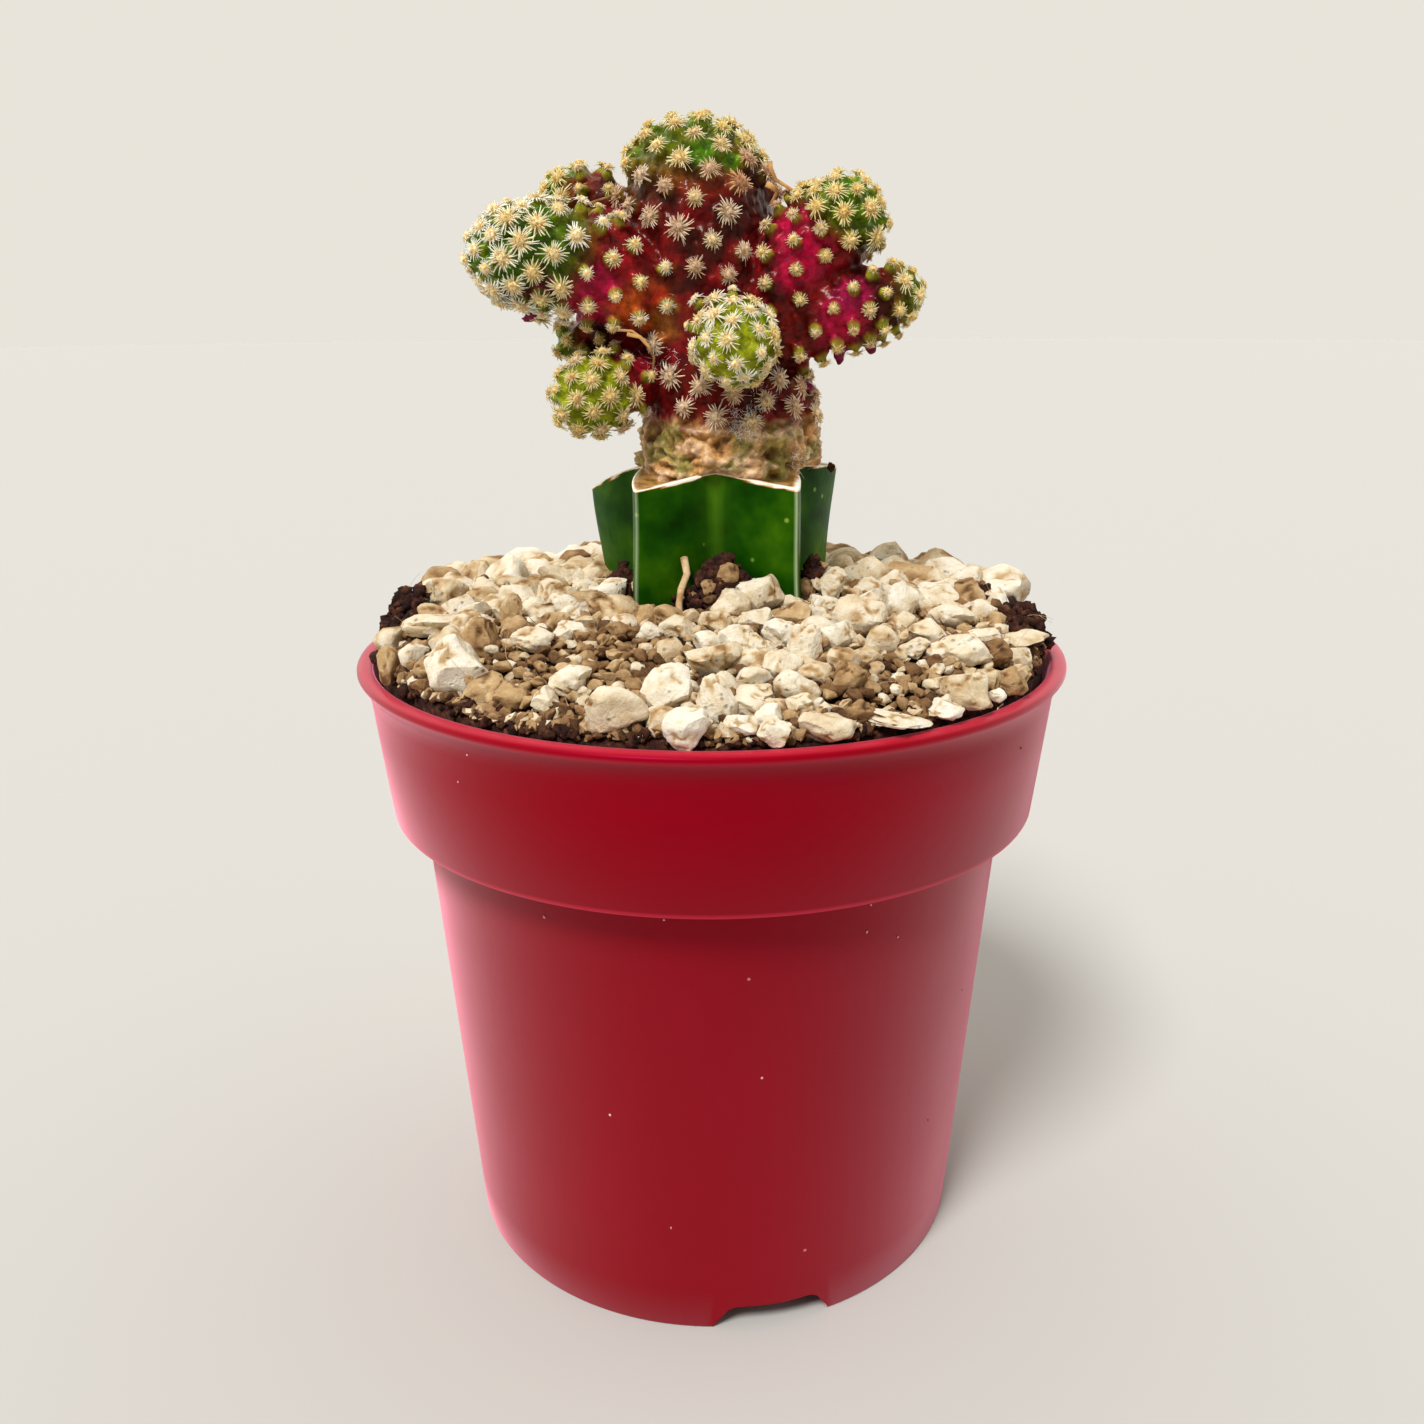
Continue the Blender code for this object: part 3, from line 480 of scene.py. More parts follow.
def crumbHeight(x, y):
    # of the lumps in the surface
    lumps = 0
    for size, height in soilSettings["crumbs"]:
        lumps += height * (1.6 * abs(noise.noise(Vector((x, y, size)) / size)) - 0.3)
    return lumps


def bedTop(x, y):
    # the top of the mix with its lumps
    edge = 1 - min(math.hypot(x, y) / soilSettings["edgeRadius"], 1) ** 24
    return soilHeight(x, y) + crumbHeight(x, y) * (0.35 + 0.65 * edge)


def soilMaterial():
    # milled peat and bark: matt, nearly black where damp, with reddish crumbs and pale fibres
    material, tree, inputs = newMaterial("damp peat mix", {"Roughness": 0.95, "Specular IOR Level": 0.25})
    place = addNode(tree, "TexCoord").outputs["Object"]
    lumps = addNode(tree, "TexNoise", {"Scale": perMm(1.3), "Detail": 6.0, "Roughness": 0.7},
                    {"Vector": place})
    colour = addNode(tree, "ValToRGB", {"stops": [
        (0.32, "#0f0605"), (0.46, "#2c130d"), (0.58, "#4a2819"), (0.72, "#7e5039")]}, {"Fac": lumps})
    bump = addNode(tree, "Bump", {"Strength": 0.9, "Distance": 0.5 * mm}, {"Height": lumps})
    connect(tree, inputs, {"Base Color": colour, "Normal": bump})
    return material


def makeSoil(material):
    s, p = soilSettings, potSettings
    inner = [(s["edgeRadius"] * math.sqrt(i / s["rings"]), s["top"]) for i in range(s["rings"] + 1)]
    wall, floor = p["wall"] + s["wallGap"], p["floor"][1] + s["wallGap"]
    ledge = p["collarFoot"][1] + wall
    down = [
        (p["collarTop"][0] - wall, s["shoulder"]), (p["collarFoot"][0] - wall, ledge),
        (wallRadius(ledge) - wall, ledge), (wallRadius(floor) - wall, floor), (0, floor),
    ]
    bm = spun(inner + down, s["steps"])
    for vert in bm.verts:
        if vert.co.z > s["top"] - 0.1:
            vert.co.z = bedTop(*vert.co.xy)
    bmesh.ops.recalc_face_normals(bm, faces=bm.faces)
    addPiece("peat_surface", bm, material, ["potting_mix"])


soilLook = soilMaterial()
makeSoil(soilLook)


# The stem's sizes stand here, because the gravel leaves room for it

stockSettings = {
    "centre": (0.6, 2.4),
    "valleyRadius": 9.2,
    "top": 96.4,
    "gravelHeight": 79.0,
    "end": 60.0,
    "endRadius": 6.0,
    "flankCurve": 1.4,
    "ribWave": 0.18,
    "ribs": (
        # angle from the front in degrees, radius at the cut and at the gravel, height of the cut
        (-106.0, 15.8, 14.2, 92.9),
        (-34.0, 16.1, 16.2, 94.9),
        (33.0, 16.1, 17.0, 95.1),
        (109.0, 15.7, 14.3, 95.4),
        (182.0, 15.8, 15.0, 95.0),
    ),
    # where the stem is sampled: from a rib to the valley, and from the cut down
    "shares": (0.0, 0.006, 0.018, 0.035, 0.06, 0.1, 0.15, 0.22, 0.3, 0.4, 0.5),
    "drops": (0.0, 0.012, 0.024, 0.036, 0.05, 0.07, 0.1, 0.15, 0.2, 0.26, 0.32, 0.38, 0.44, 0.5,
              0.56, 0.62, 0.7, 0.78, 0.86, 0.93, 1.0, 1.3, 2.0),
    "inward": (0.62, 0.3, 0.08, 0.03),  # the rings of the cut face, from the middle out
    "marginWidth": 0.42,  # of the dry white edge round the cut
    "marginRise": 0.15,
    "rubbed": (20, 46),  # degrees: the one rib whose edge was rubbed most
}


# Gravel: chips of pale pumice, pebbles and tan grit

gravelSettings = {
    "lift": 0.9,  # of the bed above the mix
    "photoStones": (
        # pixel x and y of the middle, width and height in pixels, tone from 0 cream to 1 brown
        (457, 665, 60, 50, 0.05), (432, 626, 52, 20, 0.15), (481, 641, 32, 40, 0.55),
        (570, 681, 40, 25, 0.1), (545, 699, 27, 22, 0.1), (612, 712, 62, 50, 0.2),
        (672, 690, 50, 44, 0.05), (689, 731, 45, 42, 0.0), (680, 630, 37, 24, 0.2),
        (622, 632, 30, 20, 0.6), (612, 610, 52, 30, 0.35), (572, 616, 28, 18, 0.1),
        (571, 632, 32, 20, 0.1), (535, 640, 38, 22, 0.15), (510, 617, 20, 40, 0.4),
        (555, 597, 42, 30, 0.2), (490, 592, 38, 26, 0.2), (445, 595, 40, 32, 0.3),
        (578, 566, 33, 28, 0.6), (502, 570, 28, 20, 0.65), (535, 569, 40, 22, 0.25),
        (467, 575, 26, 16, 0.4), (379, 668, 22, 36, 0.45), (422, 687, 20, 13, 0.7),
        (585, 590, 28, 18, 0.15), (603, 585, 25, 16, 0.3), (760, 595, 47, 36, 0.15),
        (729, 607, 37, 31, 0.2), (717, 622, 32, 25, 0.25), (756, 621, 30, 25, 0.1),
        (737, 642, 36, 30, 0.05), (756, 647, 22, 25, 0.1), (781, 634, 33, 25, 0.05),
        (712, 660, 52, 38, 0.2), (807, 647, 33, 46, 0.1), (839, 637, 35, 30, 0.1),
        (860, 617, 52, 40, 0.15), (822, 607, 35, 22, 0.1), (831, 585, 30, 32, 0.15),
        (900, 607, 33, 42, 0.1), (866, 590, 28, 20, 0.15), (937, 600, 42, 26, 0.15),
        (951, 617, 38, 22, 0.1), (925, 632, 42, 22, 0.15), (967, 650, 50, 28, 0.15),
        (995, 655, 28, 26, 0.7), (965, 690, 58, 36, 0.25), (782, 667, 37, 30, 0.15),
        (750, 679, 35, 26, 0.1), (752, 693, 38, 20, 0.15), (717, 702, 37, 46, 0.05),
        (750, 706, 32, 20, 0.1), (802, 706, 30, 22, 0.2), (742, 725, 30, 22, 0.05),
        (770, 719, 28, 27, 0.0), (782, 740, 32, 26, 0.1), (832, 731, 52, 27, 0.2),
        (910, 727, 66, 12, 0.1), (860, 710, 30, 18, 0.65), (944, 704, 18, 18, 0.05),
        (961, 701, 15, 15, 0.1), (960, 715, 35, 18, 0.05), (1010, 682, 36, 27, 0.5),
        (1042, 682, 25, 30, 0.3), (1039, 705, 18, 13, 0.0), (1022, 637, 42, 16, 0.2),
        (970, 590, 28, 20, 0.55), (897, 569, 24, 16, 0.6), (865, 572, 32, 18, 0.6),
        (836, 561, 25, 20, 0.4), (807, 590, 20, 22, 0.6), (850, 679, 28, 32, 0.6),
        (982, 636, 32, 16, 0.1), (940, 652, 24, 16, 0.1), (915, 648, 28, 18, 0.15),
        (727, 574, 20, 20, 0.6), (708, 586, 14, 16, 0.6), (700, 632, 16, 14, 0.3),
    ),
    "bareSoil": (
        # pixel x and y of the middle, half width and half height
        (650, 742, 36, 6), (425, 703, 26, 6), (722, 566, 52, 32), (398, 600, 36, 34),
        (1036, 612, 38, 34), (668, 604, 40, 14), (628, 572, 14, 26), (808, 560, 14, 24)),
    "gritOnly": ((575, 665, 95, 40), (880, 685, 60, 30), (530, 715, 60, 20), (400, 675, 30, 20)),
    "shapes": (
        # detail, fewest and most cuts, roughness, how many: large, middling, small and tiny ones
        (4, 6, 10, 0.16, 14), (3, 5, 9, 0.14, 12), (2, 5, 9, 0.3, 14), (1, 2, 5, 0.3, 10)),
    "fullness": 1.22,  # cut chips are narrower than the sphere they come from
    "stoneSizes": (6.0, 2.4),
    "pebbleSizes": (1.7, 0.5),
    "stoneFrom": 2.3,  # widths: a stone above it, a pebble or grit below
    "gritBelow": 1.45,
    "placedFrom": 4.0,  # stones this wide are placed from the photograph where it shows the bed,
    "shownTo": (34, 4),  # up to this far to the sides and to the back
    "finePixels": 24,  # a placed stone wider than this gets a fine shape
    "stoneTones": (0.05, 0.1, 0.15, 0.2, 0.3, 0.45),
    "darkGrit": (0.42, 0.9),
    "paleGrit": (0.1, 0.4),
    "tries": (9000, 90000),  # for the stones, and for the pebbles
    "lip": 1.6,  # width of the rim that placed stones leave free
    "rimGrit": 950,
    "rimGritSizes": (0.55, 1.7),
    "rimGritAngle": 112,
    "rimGritRadius": 40.2,
    "seed": 12,
}


def onBed(x, y, lift):
    return marched(x, y, lambda spot: spot.z < soilHeight(spot.x, spot.y) + lift)


def inStem(spot):
    # true where the front of the stem hides the bed
    return (spot.xy - Vector(stockSettings["centre"])).length < stockSettings["valleyRadius"] - 0.5


def chip(chance, detail, cuts, roughness):
    # an angular stone of about unit radius: a sphere cut flat on several sides, worn and cracked
    bm = ball(detail)
    pitLayer = bm.verts.layers.float.new("pit")
    planes = [(randomDirection(chance), chance.uniform(0.55, 0.84)) for _ in range(cuts)]
    offset = randomDirection(chance) * 40
    for vert in bm.verts:
        spot = vert.co.copy()
        for direction, reach in planes:
            over = spot.dot(direction) - reach
            if over > 0:
                spot -= direction * over
        crack = max(0.0, 1 - 4.5 * abs(noise.noise(spot * 1.6 - offset)))
        crack *= float(smoothStep(-0.1, 0.25, noise.noise(spot * 1.1 + offset * 2)))
        spot *= 1 + roughness * noise.noise(spot * 1.4 + offset)
        spot *= 1 + roughness * 0.5 * noise.noise(spot * 3.6 + offset) - 0.12 * crack
        vert.co = spot
        vert[pitLayer] = 0.5 * crack
    return toMesh(bm, "chip")


class Crowd:
    # what has been laid, kept by squares of the ground to find neighbours quickly
    square = 4

    def __init__(self):
        self.cells = {}

    def cell(self, spot):
        return int(spot.x // self.square), int(spot.y // self.square)

    def add(self, spot, width):
        self.cells.setdefault(self.cell(spot), []).append((spot.xy, width))

    def hasRoom(self, spot, width, overlap):
        column, row = self.cell(spot)
        for i in (-2, -1, 0, 1, 2):
            for k in (-2, -1, 0, 1, 2):
                for other, size in self.cells.get((column + i, row + k), ()):
                    if (spot.xy - other).length < (width + size) * overlap:
                        return False
        return True


def layStone(copies, crowd, shape, spot, size, chance, tone, tilt):
    # size is the width, depth and height; the stone sinks a little into the bed
    leans = (chance.uniform(-tilt, tilt), chance.uniform(-tilt, tilt))
    turn = Matrix.Rotation(leans[0], 4, "X") @ Matrix.Rotation(leans[1], 4, "Y")
    spin = Matrix.Rotation(chance.uniform(0, math.tau), 4, "Z")
    scale = Matrix.Diagonal((*(side * gravelSettings["fullness"] / 2 for side in size), 1))
    copies.append((shape, Matrix.Translation(spot) @ turn @ scale @ spin, tone))
    crowd.add(spot, max(size[:2]))


def inPatches(x, y, patches):
    return any(((x - middleX) / width) ** 2 + ((y - middleY) / height) ** 2 < 1
               for middleX, middleY, width, height in patches)


def pumiceMaterial():
    # dry pumice and limestone grit: chalky, full of fine pits that hold brown dust
    material, tree, inputs = newMaterial("dry pumice", {"Roughness": 0.93, "Specular IOR Level": 0.3})
    place = addNode(tree, "TexCoord").outputs["Object"]
    tone = addNode(tree, "Attribute", {"attribute_name": "tone"}).outputs["Fac"]
    cloud = addNode(tree, "TexNoise", {"Scale": perMm(2.4), "Detail": 6.0, "Roughness": 0.68},
                    {"Vector": place})
    shifted = addNode(tree, "Math", {"operation": "MULTIPLY_ADD", 1: 0.9, 2: -0.43}, {0: cloud})
    total = addNode(tree, "Math", {"operation": "ADD", "use_clamp": True}, {0: tone, 1: shifted})
    colour = addNode(tree, "ValToRGB", {"stops": [
        (0.0, "#efe7d5"), (0.22, "#dfceae"), (0.45, "#bf9e70"), (0.72, "#8a6640"), (1.0, "#4f331c")]},
        {"Fac": total})
    pores = addNode(tree, "TexVoronoi", {"Scale": perMm(0.9)}, {"Vector": place})
    pits = addNode(tree, "MapRange", {1: 0.1, 2: 0.32, 3: 0.6, 4: 0.0}, {"Value": pores})
    patchy = addNode(tree, "TexNoise", {"Scale": perMm(2.2)}, {"Vector": place})
    where = addNode(tree, "MapRange", {1: 0.52, 2: 0.62}, {"Value": patchy})
    pitted = addNode(tree, "Math", {"operation": "MULTIPLY"}, {0: pits, 1: where})
    stained = addNode(tree, "Mix", {"data_type": "RGBA", 7: linear("#7d6340")}, {0: pitted, 6: colour})
    grain = addNode(tree, "TexNoise", {"Scale": perMm(0.5), "Detail": 4.0, "Roughness": 0.7},
                    {"Vector": place})
    height = addNode(tree, "Math", {"operation": "SUBTRACT"}, {0: grain, 1: pitted})
    bump = addNode(tree, "Bump", {"Strength": 0.9, "Distance": 0.35 * mm}, {"Height": height})
    connect(tree, inputs, {"Base Color": stained, "Normal": bump})
    return material


def makeGravel(material):
    g = gravelSettings
    chance = random.Random(g["seed"])
    large, middling, small, tiny = (
        [chip(chance, detail, chance.randint(fewest, most), roughness) for _ in range(count)]
        for detail, fewest, most, roughness, count in g["shapes"])
    stones, crowd = [], Crowd()
    for x, y, width, height, tone in g["photoStones"]:
        spot, pixel = onBed(x, y, g["lift"] + 0.25 * height * 0.11)
        if inStem(spot):
            continue
        reach = potSettings["rimRadius"] - g["lip"] - width * pixel * 0.32
        spot.xy *= min(1, reach / spot.xy.length)
        size = (width * pixel, width * pixel * chance.uniform(0.75, 0.95), height * pixel * 1.02)
        shape = chance.choice(large if width > g["finePixels"] else middling)
        layStone(stones, crowd, shape, spot, size, chance, tone, 0.15)
    bedEdge = soilSettings["edgeRadius"] - 0.1
    centre = Vector(stockSettings["centre"])

    def scatter(copies, shapes, sizes, tries, overlap, flatness):
        for i in range(tries):
            width = sizes[0] + (sizes[1] - sizes[0]) * (i / tries) ** 0.8
            angle = chance.uniform(0, math.tau)
            radius = (bedEdge - width * 0.3) * math.sqrt(chance.random())
            spot = Vector((*fromFront(angle, radius), 0))
            if (spot.xy - centre).length < stockSettings["valleyRadius"] + width * 0.3:
                continue
            spot.z = soilHeight(spot.x, spot.y) + g["lift"] + width * 0.12
            pixel = toPhoto(spot)
            if inPatches(*pixel, g["bareSoil"]):
                continue
            grit = inPatches(*pixel, g["gritOnly"]) and spot.y < 0
            isStone = width > g["stoneFrom"]
            shown = abs(spot.x) < g["shownTo"][0] and spot.y < g["shownTo"][1]
            if isStone and grit or width > g["placedFrom"] and shown:
                continue
            if not crowd.hasRoom(spot, width, overlap):
                continue
            if isStone:
                tone, tilt = chance.choice(g["stoneTones"]), 0.4
            else:
                isDark = chance.random() < (0.8 if grit else 0.5)
                tone, tilt = chance.uniform(*g["darkGrit" if isDark else "paleGrit"]), 0.9
                spot.z = bedTop(spot.x, spot.y) + width * 0.3 + chance.uniform(0, 0.7)
            size = (width, width * chance.uniform(0.7, 1.0), width * chance.uniform(*flatness))
            shape = chance.choice(shapes if width > g["gritBelow"] else tiny)
            layStone(copies, crowd, shape, spot, size, chance, tone, tilt)

    scatter(stones, middling, g["stoneSizes"], g["tries"][0], overlap=0.42, flatness=(0.6, 0.9))
    addPiece("pumice_stones", pile(stones), material, ["gravel"], sharpAngle=40)
    pebbles = []
    scatter(pebbles, small, g["pebbleSizes"], g["tries"][1], overlap=0.31, flatness=(0.5, 0.8))
    for _ in range(g["rimGrit"]):  # rolled down against the wall of the pot
        width = chance.uniform(*g["rimGritSizes"])
        angle = math.radians(chance.uniform(-g["rimGritAngle"], g["rimGritAngle"]))
        radius = g["rimGritRadius"] - width / 2 - chance.random() * 1.5
        spot = Vector((*fromFront(angle, radius), 0))
        low = aroundPot(soilSettings["edgeHeights"], angle)
        spot.z = max(low, bedTop(spot.x, spot.y)) + width * 0.3 + chance.uniform(0, 0.5)
        if not inPatches(*toPhoto(spot), g["bareSoil"]):
            size = (width, width * chance.uniform(0.7, 1.0), width * chance.uniform(0.5, 0.8))
            tone = chance.uniform(0.5, 1.0) if chance.random() < 0.8 else chance.uniform(*g["paleGrit"])
            layStone(pebbles, crowd, chance.choice(tiny), spot, size, chance, tone, 1.2)
    addPiece("pebbles_and_grit", pile(pebbles), material, (), sharpAngle=50)


makeGravel(pumiceMaterial())


# Rootstock: a five-ribbed stem with thin waxy ribs, cut across for the graft

def ribAt(turn):
    # at an angle from the front in degrees: the two ribs on its sides and the share between them
    ribs = stockSettings["ribs"]
    for i, rib in enumerate(ribs):
        following = ribs[(i + 1) % len(ribs)]
        span = (following[0] - rib[0]) % 360
        past = (turn - rib[0]) % 360
        if past < span:
            return rib, following, past / span
    return ribs[0], ribs[1], 0.0


def stockPoint(turn, drop):
    # a point of the stem's side; drop is 0 at the cut and 1 at the gravel
    s = stockSettings
    first, second, share = ribAt(turn)
    near = first if share < 0.5 else second
    side = min(share, 1 - share)
    flank = max(0.0, 1 - 2 * max(side - 0.012, 0)) ** s["flankCurve"]
    tip = near[1] + (near[2] - near[1]) * min(drop, 1)
    wave = s["ribWave"] * math.sin(drop * 5.0 + near[0]) * flank
    radius = s["valleyRadius"] + (tip - s["valleyRadius"]) * flank + wave
    cut = near[3] + (s["top"] - near[3]) * (1 - (1 - 2 * side) ** 1.6)
    if drop > 1:
        radius += (s["endRadius"] - radius) * (drop - 1)
        z = s["gravelHeight"] + (s["end"] - s["gravelHeight"]) * (drop - 1)
    else:
        z = cut + (s["gravelHeight"] - cut) * drop
    x, y = fromFront(math.radians(turn), radius)
    centreX, centreY = s["centre"]
    return Vector((centreX + x, centreY + y, z)), side, cut


def stockTurns():
    s = stockSettings
    turns = []
    for i, rib in enumerate(s["ribs"]):
        span = (s["ribs"][(i + 1) % len(s["ribs"])][0] - rib[0]) % 360
        turns += [rib[0] + span * share for share in s["shares"]]
        turns += [rib[0] + span * (1 - share) for share in reversed(s["shares"][1:-1])]
    return turns


def stockMaterial():
    # living stem: dark green under a thin clear wax, paler and dry where the ribs were bruised
    material, tree, inputs = newMaterial("waxy green stem", {
        "IOR": 1.45, "Roughness": 0.36, "Specular IOR Level": 0.13, "Specular Tint": linear("#90d838"),
        "Coat Weight": 0.02, "Coat Roughness": 0.08,
        "Subsurface Weight": 0.1, "Subsurface Radius": (0.4, 0.9, 0.1), "Subsurface Scale": 1.2 * mm})
    place = addNode(tree, "TexCoord").outputs["Object"]
    crease, edge, dry = (addNode(tree, "Attribute", {"attribute_name": name}).outputs["Fac"]
                         for name in ("crease", "ribEdge", "dryCut"))
    cloud = addNode(tree, "TexNoise", {"Scale": perMm(5.5), "Detail": 3.0}, {"Vector": place})
    green = addNode(tree, "ValToRGB", {"stops": [
        (0.3, "#062a01"), (0.46, "#154402"), (0.62, "#2f5a03"), (0.82, "#567c0e")]}, {"Fac": cloud})
    creased = addNode(tree, "Mix", {"data_type": "RGBA", 7: linear("#5c8a1c")}, {0: crease, 6: green})
    cells = addNode(tree, "TexVoronoi", {"Scale": perMm(3.2)}, {"Vector": place})
    dots = addNode(tree, "MapRange", {1: 0.11, 2: 0.05, 4: 0.75}, {"Value": cells})
    dotted = addNode(tree, "Mix", {"data_type": "RGBA", 7: linear("#86a845")}, {0: dots, 6: creased})
    lined = addNode(tree, "Mix", {"data_type": "RGBA", 7: linear("#b9cc9c")}, {0: edge, 6: dotted})
    crust = addNode(tree, "TexNoise", {"Scale": perMm(1.4), "Detail": 4.0}, {"Vector": place})
    crumbled = addNode(tree, "Math", {"operation": "MULTIPLY_ADD", 1: 0.9, 2: -0.45}, {0: crust})
    wearAndEdgeHighlight = addNode(tree, "Math", {"operation": "ADD"}, {0: dry, 1: crumbled})
    callus = addNode(tree, "ValToRGB", {"stops": [
        (0.3, "#7c5226"), (0.48, "#b98a4c"), (0.66, "#d9b488"), (0.85, "#f4efe4")]}, {"Fac": wearAndEdgeHighlight})
    healed = addNode(tree, "MapRange", {1: 0.15, 2: 0.5}, {"Value": dry})
    cut = addNode(tree, "Mix", {"data_type": "RGBA"}, {0: healed, 6: lined, 7: callus})
    pores = addNode(tree, "TexNoise", {"Scale": perMm(0.8), "Detail": 3.0}, {"Vector": place})
    bump = addNode(tree, "Bump", {"Strength": 0.25, "Distance": 0.15 * mm}, {"Height": pores})
    connect(tree, inputs, {"Base Color": cut, "Normal": bump})
    return material


def whiteness(spot, side):
    # of the dried margin: torn away here and there and where the cork reaches the valleys
    return float(smoothStep(-0.3, 0.1, noise.noise(spot * 0.3)) * smoothStep(0.46, 0.3, side))


def makeStock():
    s = stockSettings
    turns = stockTurns()
    bm = bmesh.new()
    edgeLayer = bm.verts.layers.float.new("ribEdge")
    dryLayer = bm.verts.layers.float.new("dryCut")
    creaseLayer = bm.verts.layers.float.new("crease")
    loops = []

    def ring(placed):
        made = bmesh.ops.create_circle(bm, segments=len(turns), radius=1.0)["verts"]
        for vert, (spot, edge, dry, crease) in zip(made, placed):
            vert.co = spot
            vert[edgeLayer] = edge
            vert[dryLayer] = dry
            vert[creaseLayer] = crease
        loops.append([e for e in bm.edges if e.verts[0] in made and e.verts[1] in made])

    centre = Vector((*s["centre"], s["top"]))
    for inward in s["inward"]:
        spots = []
        for turn in turns:
            spot, side = stockPoint(turn, 0)[:2]
            inner = spot.lerp(centre, inward)
            inner.z = spot.z + (centre.z - spot.z) * inward + s["marginRise"] * (inward < 0.2)
            spots.append((inner, 0.0, 0.45 + 0.5 * whiteness(spot, side) * (inward < 0.05), 0.0))
        ring(spots)
    first, last = s["rubbed"]
    for drop in s["drops"]:
        spots = []
        for turn in turns:
            spot, side, cut = stockPoint(turn, drop)
            ragged = s["marginWidth"] * whiteness(spot, side) * (1 + noise.noise(spot * 0.9))
            ragged = max(0.1, ragged)
            dry = float(smoothStep(ragged, ragged * 0.5, cut - spot.z)) if drop < 0.3 else 0.0
            crease = float(smoothStep(0.36, 0.5, side)) * max(0, 0.55 - drop * 0.5)
            shown = 0.9 if first < turn < last else 0.5
            spots.append((spot, float(smoothStep(0.013, 0.0, side)) * shown, dry, crease))
        ring(spots)
    closeTube(bm, loops)
    addPiece("ribbed_stock", bm, stockMaterial(), ["rootstock"], sharpAngle=70)


makeStock()


# Scion: heads of the same stations as in the CAD, with tubercles, blended into one skin

headSettings = {
    # stations from the root to the tip: x, y, z and the skin's radius
    "left_head": (
        (-6.0, -0.5, 116.2, 5.6), (-11.8, -3.0, 118.2, 5.2), (-16.8, -5.2, 119.6, 4.8),
        (-21.3, -6.8, 119.9, 3.9), (-25.3, -7.8, 120.1, 0.0)),
    "left_bud": (
        (-6.5, 1.0, 112.5, 3.4), (-11.2, 1.0, 111.6, 2.8), (-14.2, 1.0, 111.0, 2.2),
        (-17.2, 1.0, 110.4, 0.0)),
    "rear_left_head": (
        (-7.0, 3.6, 121.0, 3.2), (-11.6, 6.4, 125.0, 3.2), (-15.2, 8.2, 126.3, 2.8),
        (-19.2, 9.8, 127.3, 0.0)),
    "upper_right_head": (
        (6.0, -0.2, 114.0, 6.2), (10.0, -1.4, 118.4, 5.8), (13.0, -2.4, 121.8, 5.0),
        (14.6, -3.0, 124.2, 4.0), (15.4, -3.3, 127.2, 0.0)),
    "right_head": (
        (7.0, -1.6, 111.4, 4.4), (12.0, -3.0, 113.6, 4.0), (16.2, -4.2, 114.8, 3.7),
        (19.6, -5.0, 115.4, 3.0), (22.6, -5.5, 115.7, 0.0)),
    "front_head": (
        (0.9, -5.0, 112.6, 2.8), (2.0, -9.4, 111.6, 3.1), (2.8, -13.0, 110.6, 3.1),
        (3.4, -16.7, 109.9, 0.0)),
    "lower_left_head": (
        (-6.0, -1.2, 107.2, 2.8), (-10.6, -4.4, 105.8, 3.2), (-13.4, -7.0, 104.9, 3.2),
        (-16.2, -9.8, 104.2, 0.0)),
    "rear_head": (
        (2.4, 8.0, 115.6, 2.6), (3.6, 13.0, 117.4, 3.6), (4.6, 17.2, 119.4, 3.8),
        (5.6, 21.8, 121.6, 0.0)),
    "rear_right_head": (
        (4.4, 6.4, 107.4, 2.4), (6.2, 10.4, 107.0, 3.2), (7.4, 14.0, 106.8, 3.3),
        (8.4, 18.0, 106.8, 0.0)),
    "main_head": (
        (2.2, 2.0, 92.0, 10.4), (2.2, 2.0, 98.4, 10.8), (1.5, 2.0, 104.6, 9.3),
        (0.5, 2.0, 112.0, 9.2), (-0.7, 2.1, 118.0, 8.9), (-1.3, 2.3, 123.6, 8.6),
        (-1.9, 2.7, 128.4, 7.4), (-2.1, 3.0, 131.6, 5.2), (-2.2, 3.2, 134.0, 0.0)),
}
